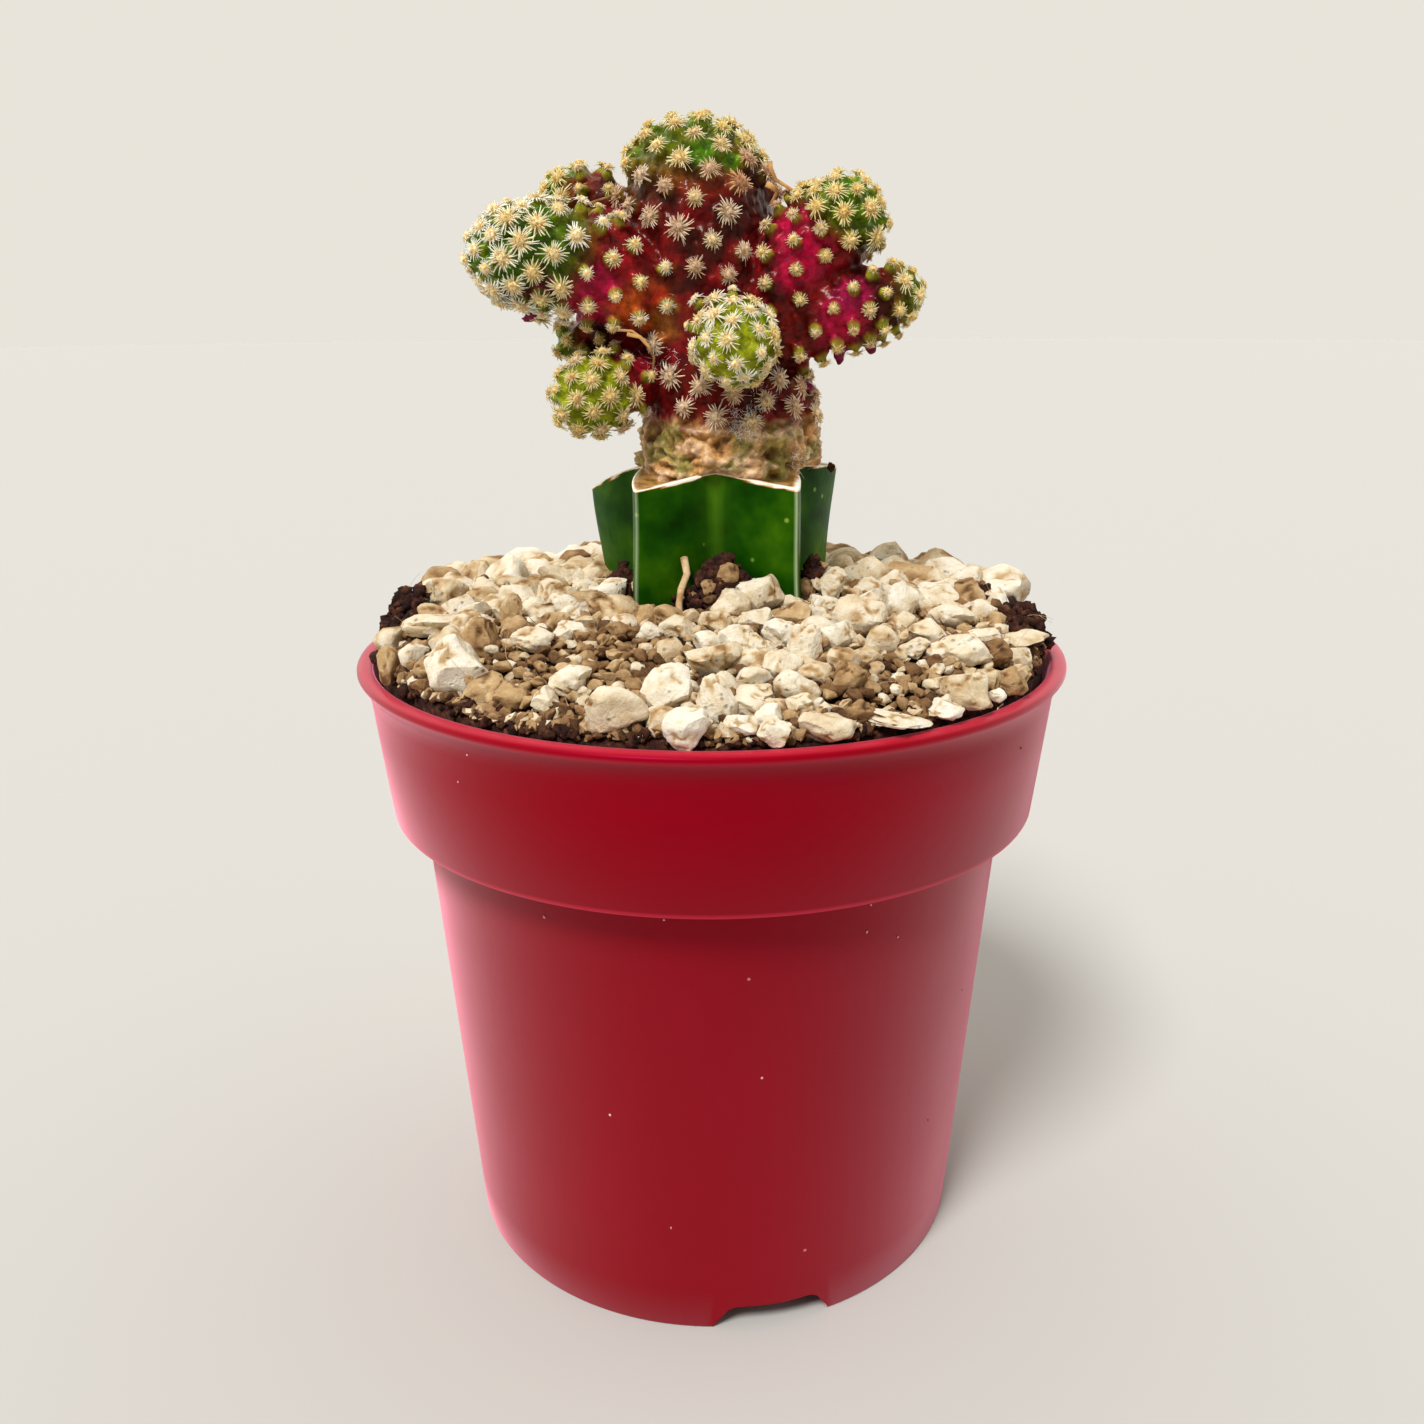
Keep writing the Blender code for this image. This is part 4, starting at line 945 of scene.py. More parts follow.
skinSettings = {
    "axisSteps": 60,  # samples between two stations
    "spacing": (2.0, 3.3),  # between tubercles on an offset head, at its tip and far from it
    "mainSpacing": (2.7, 3.45),
    "tubercles": {  # half width, height over the skin and reach of the spines
        "young": (0.95, 1.2, 1.3), "green": (1.2, 1.4, 1.6), "peg": (0.9, 1.7, 0.95),
        "old": (1.15, 1.2, 1.65)},
    "youngWithin": 3.6,  # of a head's tip
    "headClearance": 1.3,  # from a tubercle's tip to another head
    "starClearance": 2.7,  # and to the tips on that head
    "corkBelow": 101.8,
    "corkRadius": 13.5,
    "cutReach": 98.5,  # below it the cork stays inside the stem's edge
    "base": 94.6,  # the main head starts here, in the stock
    "rooted": 0.3,  # depth of a tubercle's foot in the skin
    "seed": 3,
    "voxel": 0.32,
    "wrinkle": 0.3,
    "corkRelief": 1.1,
    "pegWidth": 0.72,
    "pegs": (  # start, direction and half length
        ((-19.4, -3.0, 113.8), (-0.9, -0.1, -0.35), 2.0), ((17.9, -4.0, 110.4), (0.4, 0, -1), 1.4),
        ((14.5, -3.8, 109.6), (0.2, 0, -1), 1.7), ((10.4, -2.6, 105.9), (1, -0.3, -0.4), 1.7),
        ((-15.6, -1.0, 108.2), (-1, 0, -0.5), 1.3)),
    "greenFrom": {  # share of the way to the tip where crimson flesh turns green
        "left_head": 0.44, "left_bud": 0.75, "rear_left_head": 0.6, "upper_right_head": 0.58,
        "right_head": 0.8, "front_head": 0.34, "lower_left_head": 0.4, "rear_head": 0.45,
        "rear_right_head": 0.4, "main_head": 0.73},
    "flesh": {
        "crimson": "#7a0e14", "maroon": "#3d0c0b", "green": "#4d7808", "youngGreen": "#b4b222",
        "lime": "#939a12", "peg": "#a29a34", "cork": "#c4935a", "paleCork": "#f3cfa8",
        "mossyCork": "#988a48", "darkCork": "#6b4624", "dryPeg": "#7a1440"},
    "limeHeads": ("front_head", "lower_left_head"),
    "patches": (
        # what shows in the photograph: pixel x and y, radius in millimetres, colour
        (598, 303, 4.8, "#a8083c"), (580, 316, 2.2, "#8c0a49"), (640, 318, 4.4, "#cc5a1e"),
        (655, 305, 2.2, "#9c2410"), (668, 322, 2.6, "#94551f"), (803, 262, 3.6, "#ae0638"),
        (790, 225, 2.6, "#a80a38"), (838, 325, 3.6, "#b00a3c"), (850, 296, 2.4, "#9a0f42"),
        (815, 250, 2.4, "#9c0630"), (700, 400, 4.5, "#6a100b"), (655, 245, 4.0, "#6b0d10"),
        (705, 245, 3.4, "#42100c"), (640, 370, 3.0, "#8b1020"), (760, 200, 3.4, "#3d140c"),
        (575, 192, 2.6, "#6e3016"), (625, 262, 2.2, "#8c0d18"), (690, 320, 2.4, "#6d1a10"),
        (800, 325, 3.2, "#5a0d0c"), (500, 294, 2.2, "#4a0e14"), (524, 298, 2.4, "#5c1020"),
        (546, 288, 2.2, "#72102e"), (538, 272, 1.6, "#5a2018"), (704, 150, 2.2, "#4c7d0e"),
        (731, 160, 1.6, "#5c8c12")),
    "salmonStars": ((745, 182, 4.6), (775, 200, 3.2), (722, 195, 2.0)),  # pixel, and radius in mm
}


class Body:
    # a head without its tubercles, sampled along its axis from the root to the tip

    def __init__(self, stations):
        steps = skinSettings["axisSteps"]
        self.middles, self.radii, self.frames = [], [], []
        last = len(stations) - 1
        for i in range(last):
            around = [stations[max(min(k, last), 0)] for k in range(i - 1, i + 3)]
            for k in range(steps + (i == last - 1)):  # the last stretch has its end too
                values = [through(k / steps, *row) for row in zip(*((*s[:3], s[3] ** 2) for s in around))]
                self.middles.append(Vector(values[:3]))
                self.radii.append(math.sqrt(max(values[3], 0)))
        side = (self.middles[1] - self.middles[0]).orthogonal().normalized()
        for here, there in zip(self.middles, self.middles[1:]):
            ahead = (there - here).normalized()
            side = (side - ahead * side.dot(ahead)).normalized()
            self.frames.append((side, ahead.cross(side)))
        self.frames.append(self.frames[-1])

    def point(self, index, angle):
        side, other = self.frames[index]
        out = side * math.cos(angle) + other * math.sin(angle)
        return self.middles[index] + out * self.radii[index]

    def normal(self, index, angle):
        index = min(max(index, 1), len(self.middles) - 2)
        along = self.point(index + 1, angle) - self.point(index - 1, angle)
        around = self.point(index, angle + 0.01) - self.point(index, angle - 0.01)
        return around.cross(along).normalized()

    def distance(self, spot):
        return min((spot - middle).length - radius
                   for middle, radius in zip(self.middles[::6], self.radii[::6]))


def through(share, before, first, second, after):
    # a smooth curve through first and second
    slopeIn, slopeOut = (second - before) / 2, (after - first) / 2
    rise = second - first
    square = (3 * rise - 2 * slopeIn - slopeOut) * share**2
    return first + slopeIn * share + square + (slopeIn + slopeOut - 2 * rise) * share**3


def tubercleSpots(body, spacing):
    # a golden-angle spiral down from the tip, closer together where the tubercles are young
    near, far = spacing
    order = list(range(len(body.middles) - 1, -1, -1))
    counts, walked = [0.0], [0.0]
    for upper, lower in zip(order, order[1:]):
        step = math.hypot((body.middles[lower] - body.middles[upper]).length,
                          body.radii[lower] - body.radii[upper])
        walked.append(walked[-1] + step)
        local = near + (far - near) * float(smoothStep(2, 14, walked[-1]))
        area = math.pi * (body.radii[lower] + body.radii[upper]) * step
        counts.append(counts[-1] + area / (local**2 * math.sqrt(3) / 2))
    spots, k = [], 0
    for i in range(int(counts[-1])):
        while counts[k + 1] < i + 0.5:
            k += 1
        spots.append((order[k], i * goldenAngle, walked[k]))
    return spots


def findStars(bodies):
    # (head, foot, normal, kind) of each spined tubercle
    s = skinSettings
    stars = []
    for name, body in bodies.items():
        onMain = name == "main_head"
        for index, angle, walked in tubercleSpots(body, s["mainSpacing" if onMain else "spacing"]):
            foot, normal = body.point(index, angle), body.normal(index, angle)
            isGreen = index / len(body.middles) > s["greenFrom"][name]
            kind = "green" if isGreen else "old" if onMain else "peg"
            if kind == "green" and walked < s["youngWithin"]:
                kind = "young"
            if onMain and foot.z < s["corkBelow"]:
                continue
            tip = foot + normal * s["tubercles"][kind][1]
            others = [other for key, other in bodies.items() if key != name]
            if any(other.distance(tip) < s["headClearance"] for other in others):
                continue
            if any(head != name and (star - tip).length < s["starClearance"]
                   for head, star, *_ in stars):
                continue
            stars.append((name, foot, normal, kind))
    return stars


def sweptBody(body, start):
    bm = bmesh.new()
    rings = []
    for index in range(start, len(body.middles) - 6, 12):
        side, other = body.frames[index]
        place = Matrix((side, other, side.cross(other))).transposed().to_4x4()
        place.translation = body.middles[index]
        rings.append(addRing(bm, 36, body.radii[index], place))
    closeTube(bm, rings)
    return toMesh(bm)


def fuseSkin(bodies, stars):
    s = skinSettings
    knob = toMesh(ball())
    copies = []
    chance = random.Random(s["seed"])
    for name, foot, normal, kind in stars:
        width, height = s["tubercles"][kind][:2]
        width *= chance.uniform(0.9, 1.1)
        shape = Matrix.Diagonal((width, width, height + s["rooted"], 1))
        copies.append((knob, standing(foot - normal * s["rooted"], normal) @ shape, 0))
    for place, size in dryPegs():
        copies.append((knob, place @ Matrix.Diagonal((*size, 1)), 0))
    bm = pile(copies)
    for name, body in bodies.items():
        start = 0
        if name == "main_head":  # its root is inside the stock
            start = next(i for i, middle in enumerate(body.middles) if middle.z > s["base"])
        bm.from_mesh(sweptBody(body, start))
    return applied(toMesh(bm), [
        ("REMESH", {"mode": "VOXEL", "voxel_size": s["voxel"]}),
        ("SMOOTH", {"factor": 0.5, "iterations": 3})])


def dryPegs():
    # short pink pegs of old offsets under the arms: a place and half sizes
    wide = skinSettings["pegWidth"]
    return [(standing(Vector(start), Vector(towards).normalized()), (wide, wide, length))
            for start, towards, length in skinSettings["pegs"]]


def roughenSkin(mesh):
    # wrinkles all over, and corky folds that follow the cut of the stock; gives each point's fold
    s = skinSettings
    centre = Vector((*stockSettings["centre"], 0))
    normals = [Vector(vert.normal) for vert in mesh.vertices]
    folds = []
    for vert, normal in zip(mesh.vertices, normals):
        spot = vert.co.copy()
        cork = float(smoothStep(s["corkBelow"] + 1.5, s["corkBelow"] - 1.5, spot.z))
        cork *= float(smoothStep(s["corkRadius"], s["corkRadius"] - 2, (spot.xy - centre.xy).length))
        relief = s["wrinkle"] * noise.noise(spot * 1.3)
        fold = 1.2 * noise.noise(Vector((spot.x * 0.28, spot.y * 0.28, spot.z * 0.4)))
        crease = noise.noise(Vector((spot.x * 0.5, spot.y * 0.5, spot.z * 0.9 + 7)))
        fold += 0.8 * (0.35 - abs(crease * 2))
        fold += 0.45 * noise.noise(spot * 1.3) + 0.25 * noise.noise(spot * 2.6)
        folds.append(fold)
        vert.co += normal * (relief * (1 - cork) + s["corkRelief"] * fold * cork)
        if spot.z > s["cutReach"]:
            continue
        away = vert.co.xy - centre.xy
        edge, _, cut = stockPoint(math.degrees(math.atan2(away.x, -away.y)), 0)
        reach = (edge.xy - centre.xy).length - 0.1 + max(vert.co.z - cut, -0.3) * 1.6
        if away.length > reach:
            vert.co.x = centre.x + away.x * reach / away.length
            vert.co.y = centre.y + away.y * reach / away.length
    return np.array(folds)


def paintSkin(mesh, bodies, stars, folds):
    s = skinSettings
    count = len(mesh.vertices)
    spots = np.empty(count * 3)
    mesh.vertices.foreach_get("co", spots)
    spots = spots.reshape(-1, 3)

    def awayFrom(spot):
        return np.linalg.norm(spots - np.array(spot), axis=1)

    def mix(first, second, share):
        return first + (second - first) * np.asarray(share)[..., None]

    nearest = np.full(count, 1e9)
    green = np.zeros(count)
    for name, body in bodies.items():
        begin = s["greenFrom"][name]
        for index in range(0, len(body.middles), 6):
            gap = awayFrom(body.middles[index]) - body.radii[index]
            closer = gap < nearest
            nearest[closer] = gap[closer]
            green[closer] = smoothStep(begin - 0.12, begin + 0.14, index / len(body.middles))
    limes = np.zeros(count)
    for name in s["limeHeads"]:
        for spot in bodies[name].middles[::12]:
            limes = np.maximum(limes, smoothStep(7.0, 5.0, awayFrom(spot)))
    areole = np.full(count, 1e9)
    pegged = np.zeros(count)
    for name, foot, normal, kind in stars:
        away = awayFrom(foot + normal * s["tubercles"][kind][1])
        areole = np.minimum(areole, away)
        if kind == "peg":
            pegged = np.maximum(pegged, smoothStep(1.7, 0.8, away))
    tone = {name: np.array(linear(colour)[:3]) for name, colour in s["flesh"].items()}
    cloud = np.array([noise.noise(Vector(spot) * 0.32) for spot in spots]) * 0.5 + 0.5
    fine = np.array([noise.noise(Vector(spot) * 1.1 + Vector((9, 0, 0))) for spot in spots]) * 0.5 + 0.5
    green = np.clip(green + (cloud - 0.5) * 0.9 * (green * (1 - green) * 4), 0, 1)
    crimson = mix(tone["maroon"], tone["crimson"], smoothStep(0.3, 0.65, cloud))
    leaf = mix(tone["green"], tone["youngGreen"], smoothStep(0.35, 0.7, fine))
    colour = mix(crimson, mix(tone["green"], tone["lime"], limes), green)
    tree = BVHTree.FromPolygons([Vector(spot) for spot in spots],
                                [tuple(face.vertices) for face in mesh.polygons])
    for x, y, radius, patch in s["patches"]:
        hit = seenOn(tree, x, y)[0]
        if not hit:
            print("patch missed the skin:", x, y)
            continue
        away = awayFrom(hit) * (0.75 + 0.5 * cloud)
        colour = mix(colour, np.array(linear(patch)[:3]), smoothStep(radius * 1.15, radius * 0.45, away))
    tip = smoothStep(1.5, 0.75, areole)
    colour = mix(colour, mix(tone["peg"], leaf, green), tip * (0.2 + 0.6 * green))
    colour = mix(colour, mix(tone["peg"], leaf, fine), pegged * 0.75)
    # painted shade: the green flesh between the tubercles is darkened
    valley = smoothStep(1.3, 2.2, areole) * green
    colour = mix(colour, tone["green"] * 0.45, valley * 0.6)
    for place, sizes in dryPegs():
        away = awayFrom(place @ Vector((0, 0, sizes[2] * 0.6)))
        colour = mix(colour, tone["dryPeg"], smoothStep(sizes[2] + 0.3, sizes[2] - 0.3, away))
    cork = smoothStep(s["corkBelow"] + 1.2, s["corkBelow"] - 1.2, spots[:, 2] + (fine - 0.5) * 2.4)
    inner = np.hypot(spots[:, 0] - 1.0, spots[:, 1] - 2.4) < s["corkRadius"]
    bark = mix(tone["cork"], tone["mossyCork"], smoothStep(0.42, 0.62, cloud))
    # painted highlight on the raised folds of the cork, in random patches, and painted shade in its deep
    # folds
    foldHighlight = smoothStep(0.0, 0.6, folds) * (0.35 + 0.65 * smoothStep(0.4, 0.6, fine))
    bark = mix(bark, tone["paleCork"], foldHighlight)
    bark = mix(bark, tone["darkCork"], smoothStep(-0.2, -0.8, folds) * 0.8)
    colour = mix(colour, bark, cork * inner)
    layer = mesh.color_attributes.new("flesh", "FLOAT_COLOR", "POINT")
    layer.data.foreach_set("color", np.column_stack((colour, np.ones(count))).ravel())
    dry = mesh.attributes.new("corky", "FLOAT", "POINT")
    dry.data.foreach_set("value", (cork * inner).astype(np.float32))
    return tree


def skinMaterial():
    # cactus flesh: a thin clear skin over wet tissue, so it glints and lets some light through
    material, tree, inputs = newMaterial("cactus flesh", {
        "IOR": 1.42, "Specular IOR Level": 0.22, "Specular Tint": linear("#ffa27a"),
        "Coat Weight": 0.14, "Coat Roughness": 0.12, "Subsurface Weight": 0.12,
        "Subsurface Radius": (1.0, 0.35, 0.15), "Subsurface Scale": 0.6 * mm})
    place = addNode(tree, "TexCoord").outputs["Object"]
    flesh = addNode(tree, "Attribute", {"attribute_name": "flesh"}).outputs["Color"]
    corky = addNode(tree, "Attribute", {"attribute_name": "corky"}).outputs["Fac"]
    mottle = addNode(tree, "TexNoise", {"Scale": perMm(0.9), "Detail": 5.0, "Roughness": 0.6},
                     {"Vector": place})
    light = addNode(tree, "MapRange", {1: 0.35, 2: 0.7, 3: 0.5, 4: 1.4}, {"Value": mottle})
    shaded = addNode(tree, "VectorMath", {"operation": "SCALE"}, {0: flesh, "Scale": light})
    gloss = addNode(tree, "MapRange", {3: 0.36, 4: 0.9}, {"Value": corky})
    bump = addNode(tree, "Bump", {"Strength": 0.6, "Distance": 0.25 * mm}, {"Height": mottle})
    connect(tree, inputs, {"Base Color": shaded, "Roughness": gloss, "Normal": bump})
    return material


bodies = {name: Body(stations) for name, stations in headSettings.items()}
stars = findStars(bodies)
print(len(stars), "spined tubercles")
skinMesh = fuseSkin(bodies, stars)
skinTree = paintSkin(skinMesh, bodies, stars, roughenSkin(skinMesh))
addPiece("blended_scion", skinMesh, skinMaterial(), list(headSettings))


# Spines: round stars of stiff cream bristles, with a felted areole in the middle of each

spineSettings = {
    "thickness": (0.055, 0.02),  # radius at the base and at the tip, at unit reach
    "whorls": (
        # count, length as a share of the reach, angle above the skin in degrees, recurve
        (18, 0.9, 6, 0.25), (18, 0.92, 25, 0.4), (15, 0.82, 46, 0.3), (10, 0.66, 66, 0.2)),
    "rootRadius": 0.3,
    "unruly": 0.22,
    "variants": 10,
    "above": 3.5,  # from this high over the body, the skin is looked for
    # for each kind of tubercle: the felt's radius, and the tone of its star, 0 fresh to 1 old
    "felt": {"young": 0.5, "green": 0.56, "peg": 0.42, "old": 0.62},
    "tones": {"young": (0.14, 0.3), "green": (0.16, 0.4), "peg": (0.16, 0.46), "old": (0.42, 0.8)},
    "character": {  # reach of the stars of a head against the usual, and a shift of their tone: paler on the left and front heads as painted highlight on their brightly lit tops, browner on the lower left head as painted shade under the left arm
        "left_head": (1.18, -0.24), "front_head": (1.06, -0.18), "lower_left_head": (0.96, 0.12)},
    "seed": 21,
}


def spineStar(chance):
    # half a pompom of unit reach on the XY plane
    s = spineSettings
    bm = bmesh.new()
    thick, thin = s["thickness"]
    bend = randomDirection(chance) * 30
    for count, length, rise, recurve in s["whorls"]:
        for i in range(count):
            turn = (i + chance.uniform(-0.4, 0.4)) * math.tau / count
            tilt = math.radians(rise + chance.uniform(-16, 16))
            size = (length - s["rootRadius"]) * chance.uniform(0.55, 1.15)
            out = Vector((math.cos(turn), math.sin(turn), 0))
            aim = out * math.cos(tilt) + up * math.sin(tilt)
            root = out * s["rootRadius"] * math.cos(tilt)
            place = standing(root, aim) @ Matrix.Translation((0, 0, size / 2))
            start = len(bm.verts)
            made = bmesh.ops.create_cone(bm, segments=3, radius1=thick, radius2=thin,
                                         depth=size, matrix=place)["verts"]
            if rise < 40:
                sides = {e for v in made for e in v.link_edges if e.calc_length() > size * 0.5}
                bmesh.ops.subdivide_edges(bm, edges=list(sides), cuts=1)
            bm.verts.ensure_lookup_table()
            for vert in bm.verts[start:]:
                vert.co.z -= recurve * vert.co.length_squared
                vert.co += noise.noise_vector(vert.co * 2.2 + bend) * s["unruly"] * vert.co.length
    return toMesh(bm, "star")


def aged(tree, white, young, middle, old):
    # the colour for a star's age, from its tone
    tone = addNode(tree, "Attribute", {"attribute_name": "tone"}).outputs["Fac"]
    return addNode(tree, "ValToRGB", {"stops": [
        (0.0, white), (0.25, young), (0.55, middle), (1.0, old)]}, {"Fac": tone})


def spineMaterial():
    # horny bristles, translucent: honey at the base, cream at the tip, salmon brown on old stars
    material, tree, inputs = newMaterial("cream spines", {
        "IOR": 1.5, "Roughness": 0.5, "Specular IOR Level": 0.3, "Subsurface Weight": 0.2,
        "Subsurface Radius": (0.6, 0.45, 0.2), "Subsurface Scale": 0.4 * mm})
    along = addNode(tree, "Attribute", {"attribute_name": "along"}).outputs["Fac"]
    root = addNode(tree, "MapRange", {1: 0.1, 2: 0.62}, {"Value": along})
    colour = addNode(tree, "Mix", {"data_type": "RGBA"}, {
        0: root, 6: aged(tree, "#e0b250", "#c8922c", "#a67c4c", "#8f5833"),
        7: aged(tree, "#fffdec", "#f9e7a2", "#f2dcc0", "#e4ae80")})
    connect(tree, inputs, {"Base Color": colour})
    return material


def feltMaterial():
    # short matted wool
    material, tree, inputs = newMaterial("areole felt", {"Roughness": 0.95, "Sheen Weight": 0.3})
    place = addNode(tree, "TexCoord").outputs["Object"]
    fluff = addNode(tree, "TexNoise", {"Scale": perMm(0.35), "Detail": 3.0}, {"Vector": place})
    shade = addNode(tree, "MapRange", {1: 0.35, 2: 0.65}, {"Value": fluff})
    colour = addNode(tree, "Mix", {"data_type": "RGBA"}, {
        0: shade, 6: aged(tree, "#c79a40", "#ad7a1c", "#8f6a42", "#7a4828"),
        7: aged(tree, "#fff4c8", "#f2da88", "#e4caa6", "#c68f62")})
    connect(tree, inputs, {"Base Color": colour})
    return material


def makeSpines():
    s = spineSettings
    chance = random.Random(s["seed"])
    noise.seed_set(s["seed"])  # noise_vector is offset by a draw of its own
    shapes = [spineStar(chance) for _ in range(s["variants"])]
    knob = ball()
    for vert in knob.verts:
        vert.co *= 1 + 0.35 * noise.noise(vert.co * 3.1)
    knob = toMesh(knob)
    salmon = [(seenOn(skinTree, x, y)[0], radius) for x, y, radius in skinSettings["salmonStars"]]
    salmon = [(hit, radius) for hit, radius in salmon if hit]
    spines, felts = {"young": [], "old": []}, []
    for name, foot, normal, kind in stars:
        fuller, toneShift = s["character"].get(name, (1, 0))
        reach = skinSettings["tubercles"][kind][2] * chance.uniform(0.78, 1.22) * fuller
        # painted light: the head's shift of tone makes its stars paler where the head is brightly lit and
        # browner where it is shaded
        tone = max(0, chance.uniform(*s["tones"][kind]) + toneShift)
        above = foot + normal * s["above"]
        hit = skinTree.ray_cast(above, -normal)[0] or foot + normal
        if any((hit - spot).length < radius for spot, radius in salmon):
            tone = chance.uniform(0.75, 1.0)
        place = standing(hit + normal * 0.1, normal, chance.uniform(0, math.tau))
        group = spines["young" if kind in ("young", "green") else "old"]
        group.append((chance.choice(shapes), place @ Matrix.Scale(reach, 4), tone))
        wide = s["felt"][kind] * chance.uniform(0.85, 1.1) * fuller
        felt = Matrix.Diagonal((wide, wide, wide * 0.8, 1))
        felts.append((knob, place @ felt, tone))
    material = spineMaterial()
    addPiece("young_spines", pile(spines["young"]), material, ())
    addPiece("old_spines", pile(spines["old"]), material, ())
    addPiece("areole_felt", pile(felts), feltMaterial(), ())


makeSpines()


# Small things: crumbs of peat, fibres, dried splashes on the pot, wool and dry husks

debrisSettings = {
    "crumbZones": (
        # pixel x and y of the middle, half width and half height, how many, height of the heap
        (398, 602, 30, 30, 260, 1.6), (366, 650, 10, 14, 30, 1.2), (430, 705, 50, 10, 110, 1.0),
        (640, 741, 60, 7, 110, 1.0), (500, 733, 60, 10, 80, 1.0), (722, 566, 34, 24, 260, 0.7),
        (712, 592, 66, 16, 200, 0.8), (776, 592, 26, 12, 60, 0.8), (808, 560, 13, 22, 110, 0.7),
        (628, 574, 12, 22, 110, 0.7),
        (830, 600, 10, 14, 25, 1.2), (690, 640, 20, 12, 40, 1.2), (1036, 612, 32, 28, 220, 1.6),
        (1052, 655, 18, 22, 80, 1.6), (990, 588, 30, 10, 70, 2.0), (560, 560, 60, 8, 40, 1.4)),
    "rims": (  # how many, between which angles and radii, height of the heap
        (260, 105, 255, 34.0, 39.2, 1.6), (420, -112, 112, 38.3, 40.0, 0.7)),
    "stemCrumb": (14.4, 2.0, 96.0),  # the one crumb on a rib's cut
    "crumbSizes": (0.28, 0.95),
    "fibres": 110,
    "fibreAngle": 95,
    "fibreRadii": (14, 35, 38.6),  # two in three lie in the outer ring
    "root": (  # pixel x and y, and depth
        (684, 558, -9.9), (687, 574, -11.2), (681, 590, -12.8), (679, 605, -14.4), (681, 624, -16.4)),
    "drapedFibre": ((1003, 704), (998, 708), (993, 722), (986, 735)),
    "limeSpecks": (
        (464, 741), (466, 748), (467, 755), (458, 782), (544, 917), (664, 920), (762, 1078),
        (610, 1115), (671, 1228), (898, 937), (867, 932), (871, 905), (480, 746)),
    "darkSpecks": ((962, 990), (928, 1120), (1021, 748)),
    "woolZones": (
        # pixel x and y of the middle, half width and half height, how many, length
        (744, 422, 15, 16, 150, 1.2), (664, 362, 24, 16, 60, 1.2), (800, 462, 8, 14, 60, 1.2),
        (762, 398, 12, 14, 60, 1.2)),
    "husks": (
        # pixels along it, depth in millimetres, radius
        (((770, 161), (771, 170), (776, 180), (786, 186), (794, 191), (803, 199)), -2.6, 0.26),
        (((766, 184), (772, 187), (777, 192), (774, 199), (771, 204)), -3.4, 0.34),
        (((627, 334), (640, 337), (649, 347), (654, 358), (653, 369)), -13.0, 0.22),
        (((618, 330), (632, 331), (645, 340), (651, 352)), -12.5, 0.15),
        (((583, 206), (596, 201), (608, 197), (619, 193)), -4.5, 0.16),
        (((538, 295), (548, 294), (556, 296), (562, 301)), -7.5, 0.12),
        (((540, 299), (550, 298), (560, 303)), -7.8, 0.1)),
    "seed": 77,
}


def onWall(x, y):
    # on the pot's outer wall
    radii, heights = zip(*potProfile()[3:10])
    return marched(x, y, lambda spot: spot.z < potHigh.z and
                   spot.xy.length < np.interp(spot.z, heights, radii))[0]


def inZone(chance, x, y, halfWidth, halfHeight):
    # a random pixel of an ellipse
    turn, reach = chance.uniform(0, math.tau), math.sqrt(chance.random())
    return x + halfWidth * reach * math.cos(turn), y + halfHeight * reach * math.sin(turn)


def dryMaterial(name, dark, foldHighlight, size, settings):
    # dead plant matter, bleached in patches of this size in millimetres
    material, tree, inputs = newMaterial(name, settings)
    place = addNode(tree, "TexCoord").outputs["Object"]
    patches = addNode(tree, "TexNoise", {"Scale": perMm(size), "Detail": 3.0}, {"Vector": place})
    colour = addNode(tree, "ValToRGB", {"stops": [(0.38, dark), (0.62, foldHighlight)]}, {"Fac": patches})
    connect(tree, inputs, {"Base Color": colour})
    return material


def makeCrumbs(material):
    d = debrisSettings
    chance = random.Random(d["seed"])
    shapes = [chip(chance, 2, 3, 0.7) for _ in range(8)]
    dots = [chip(chance, 1, 2, 0.7) for _ in range(8)]
    spots = []
    for *zone, count, heap in d["crumbZones"]:
        for _ in range(count):
            x, y = inZone(chance, *zone)
            spot = onBed(x, y, chance.uniform(0.5, 1) * heap)[0]
            if spot.xy.length < soilSettings["edgeRadius"] - 0.6 and not inStem(spot):
                spots.append(spot)
    for count, first, last, inner, outer, heap in d["rims"]:
        for _ in range(count):
            angle, radius = math.radians(chance.uniform(first, last)), chance.uniform(inner, outer)
            x, y = fromFront(angle, radius)
            spots.append(Vector((x, y, bedTop(x, y) + chance.uniform(0.1, heap))))
    copies = []
    smallest, largest = d["crumbSizes"]
    for spot in spots:
        size = smallest + (largest - smallest) * chance.random() ** 2
        shape = Matrix.Diagonal((size, size * chance.uniform(0.6, 1), size * chance.uniform(0.6, 1), 1))
        crumb = chance.choice(shapes if size > 0.5 else dots)
        copies.append((crumb, standing(spot, randomDirection(chance)) @ shape, 0))
    copies.append((shapes[0], Matrix.Translation(d["stemCrumb"]) @ Matrix.Scale(0.55, 4), 0))
    addPiece("peat_crumbs", pile(copies), material, ())


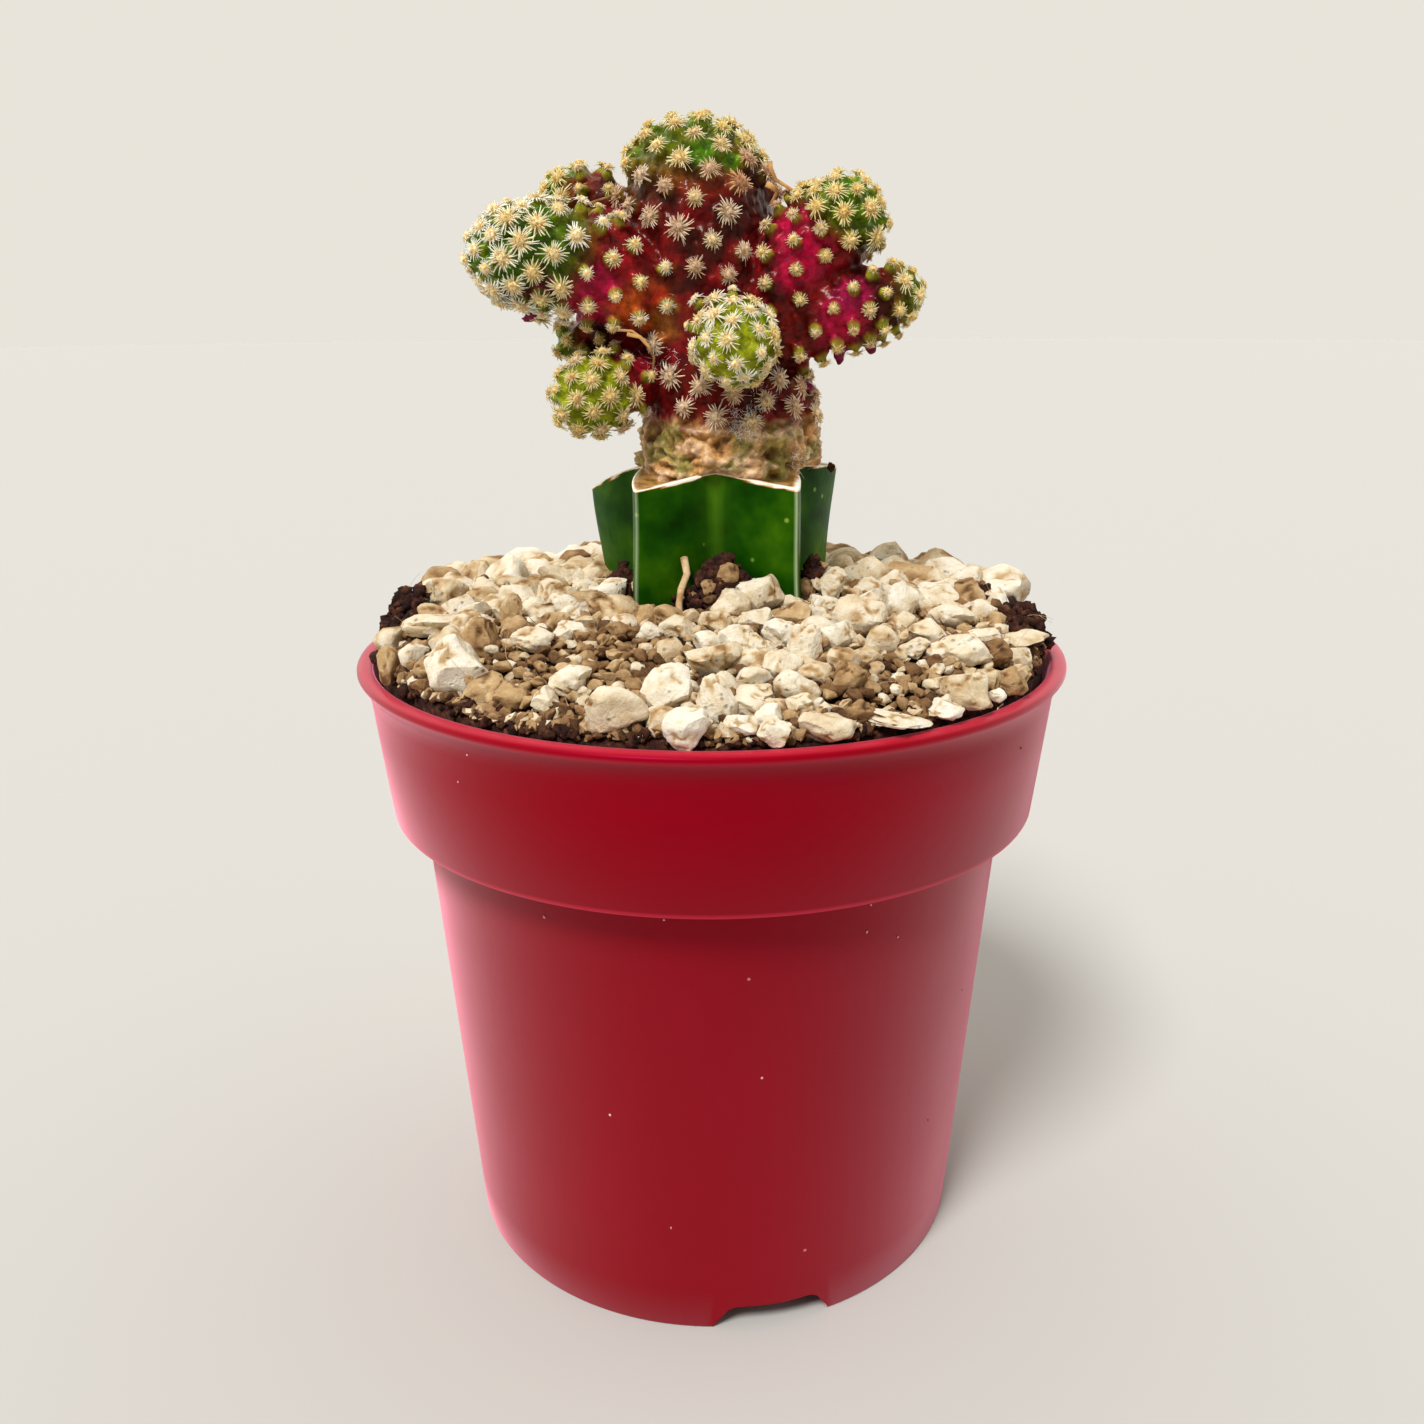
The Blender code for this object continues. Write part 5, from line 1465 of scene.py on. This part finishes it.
def makeFibres():
    d = debrisSettings
    chance = random.Random(d["seed"] + 1)
    threads = [curl(chance, chance.uniform(0.8, 2.4), 0.011) for _ in range(8)]
    copies = []
    inner, ring, outer = d["fibreRadii"]
    for i in range(d["fibres"]):
        angle = math.radians(chance.uniform(-d["fibreAngle"], d["fibreAngle"]))
        radius = chance.uniform(ring, outer) if i % 3 else chance.uniform(inner, ring)
        x, y = fromFront(angle, radius)
        heading = randomDirection(chance)
        heading.z = abs(heading.z) * 0.25
        spot = Vector((x, y, bedTop(x, y) + chance.uniform(0.5, 1.4)))
        length = chance.uniform(3, 7) if radius < ring else chance.uniform(2.5, 5)
        if (spot + heading * length).xy.length > potSettings["rimRadius"] - 1:
            heading.xy = -heading.xy
        place = standing(spot, heading.normalized()) @ Matrix.Scale(length, 4)
        copies.append((chance.choice(threads), place, 0))
    copies.append((strand([atDepth(*place) for place in d["root"]], 0.45, 0.8, 8), Matrix(), 0))
    copies.append((strand([onWall(x, y) for x, y in d["drapedFibre"]], 0.09), Matrix(), 0))
    material = dryMaterial("coir fibre", "#a88052", "#dcc094", 1.6, {"Roughness": 0.8})
    addPiece("coir_fibres", pile(copies), material, ())


def makeSpecks():
    d = debrisSettings
    chance = random.Random(d["seed"] + 2)
    drop = toMesh(ball())
    groups = (
        ("lime_specks", d["limeSpecks"], ("#c98088", "#e6b9bc"), "red_polypropylene"),
        ("mud_specks", d["darkSpecks"], ("#5a2018", "#7a3426"), "peat_mix"))
    for name, places, colours, slot in groups:
        copies = []
        for x, y in places:
            spot = onWall(x, y)
            size = chance.uniform(0.08, 0.16)
            out = Vector((spot.x, spot.y, 0)).normalized()
            shape = Matrix.Diagonal((size, size * chance.uniform(0.8, 1.8), 0.06, 1))
            copies.append((drop, standing(spot, out) @ shape, 0))
        material = dryMaterial(name.replace("_", " "), *colours, 0.4, {"Roughness": 0.8})
        addPiece(name, pile(copies), material, ())


def makeWool():
    d = debrisSettings
    chance = random.Random(d["seed"] + 3)
    threads = [curl(chance, chance.uniform(2.0, 4.5), 0.024) for _ in range(10)]
    copies = []
    for *zone, count, length in d["woolZones"]:
        for _ in range(count):
            hit, normal = seenOn(skinTree, *inZone(chance, *zone))
            if not hit:
                continue
            heading = (normal + randomDirection(chance) * 1.3).normalized()
            place = standing(hit, heading) @ Matrix.Scale(length * chance.uniform(0.5, 1.1), 4)
            copies.append((chance.choice(threads), place, 0))
    material = dryMaterial("cactus wool", "#fbf4f0", "#ffffff", 2.0, {
        "Roughness": 0.9, "Sheen Weight": 0.4})
    addPiece("cactus_wool", pile(copies), material, ())


def makeHusks():
    copies = []
    for pixels, depth, radius in debrisSettings["husks"]:
        points = [atDepth(x, y, depth) for x, y in pixels]
        copies.append((strand(points, radius, 0.5, 8, 0.3), Matrix(), 0))
    material = dryMaterial("dry husk", "#70401a", "#cf9c58", 2.2, {"Roughness": 0.7})
    addPiece("dry_husks", pile(copies), material, ())


makeCrumbs(soilLook)
makeFibres()
makeSpecks()
makeWool()
makeHusks()


# Stage: a plain pale floor and soft studio light

stageSettings = {
    "backdrop": "#E8E4DB",
    "paper": "#bbb9b4",
    "light": "#fbf8f2",
    "floorRadius": 4.0,  # metres
    "sun": (3.2, 17, (32, -19)),  # strength, angle of its disc, and how it leans from straight down
    "sky": (0.1, 1.2),  # in front of the object, where a viewer stands, and behind it
    "sides": 0.55,  # more from the walls at the left and the right
}


def makeStage():
    g = stageSettings
    bm = bmesh.new()
    bmesh.ops.create_circle(bm, cap_ends=True, segments=96, radius=g["floorRadius"])
    floor = linkObject("floor", toMesh(bm))
    paper = newMaterial("matt paper", {
        "Base Color": linear(g["paper"]), "Roughness": 0.9, "Specular IOR Level": 0.1})[0]
    floor.data.materials.append(paper)
    world = bpy.data.worlds.new("studio")
    bpy.context.scene.world = world
    world.use_nodes = True
    tree = world.node_tree
    tree.nodes.clear()
    seen = addNode(tree, "Background", {"Color": linear(g["backdrop"]), "Strength": 1.0})
    rays = addNode(tree, "LightPath")
    direction = addNode(tree, "TexCoord").outputs["Generated"]
    axes = addNode(tree, "SeparateXYZ", {}, {"Vector": direction})
    behind = addNode(tree, "MapRange", {1: -0.5, 2: 0.8, 3: g["sky"][0], 4: g["sky"][1]},
                     {"Value": axes.outputs["Y"]})
    aside = addNode(tree, "Math", {"operation": "ABSOLUTE"}, {0: axes.outputs["X"]})
    walls = addNode(tree, "MapRange", {1: 0.3, 2: 0.55, 4: g["sides"]}, {"Value": aside})
    total = addNode(tree, "Math", {"operation": "ADD"}, {0: behind, 1: walls})
    lit = addNode(tree, "Background", {"Color": linear(g["light"])}, {"Strength": total})
    mixed = addNode(tree, "MixShader", {}, {0: rays.outputs["Is Camera Ray"], 1: lit, 2: seen})
    addNode(tree, "OutputWorld", {}, {"Surface": mixed})
    strength, disc, lean = g["sun"]
    sun = bpy.data.lights.new("window", "SUN")
    sun.energy = strength
    sun.angle = math.radians(disc)
    window = linkObject("window", sun)
    window.rotation_euler = (math.radians(lean[0]), math.radians(lean[1]), 0)
    print("stage: floor, sky and sun")


makeStage()
bpy.context.scene.view_settings.view_transform = "Standard"
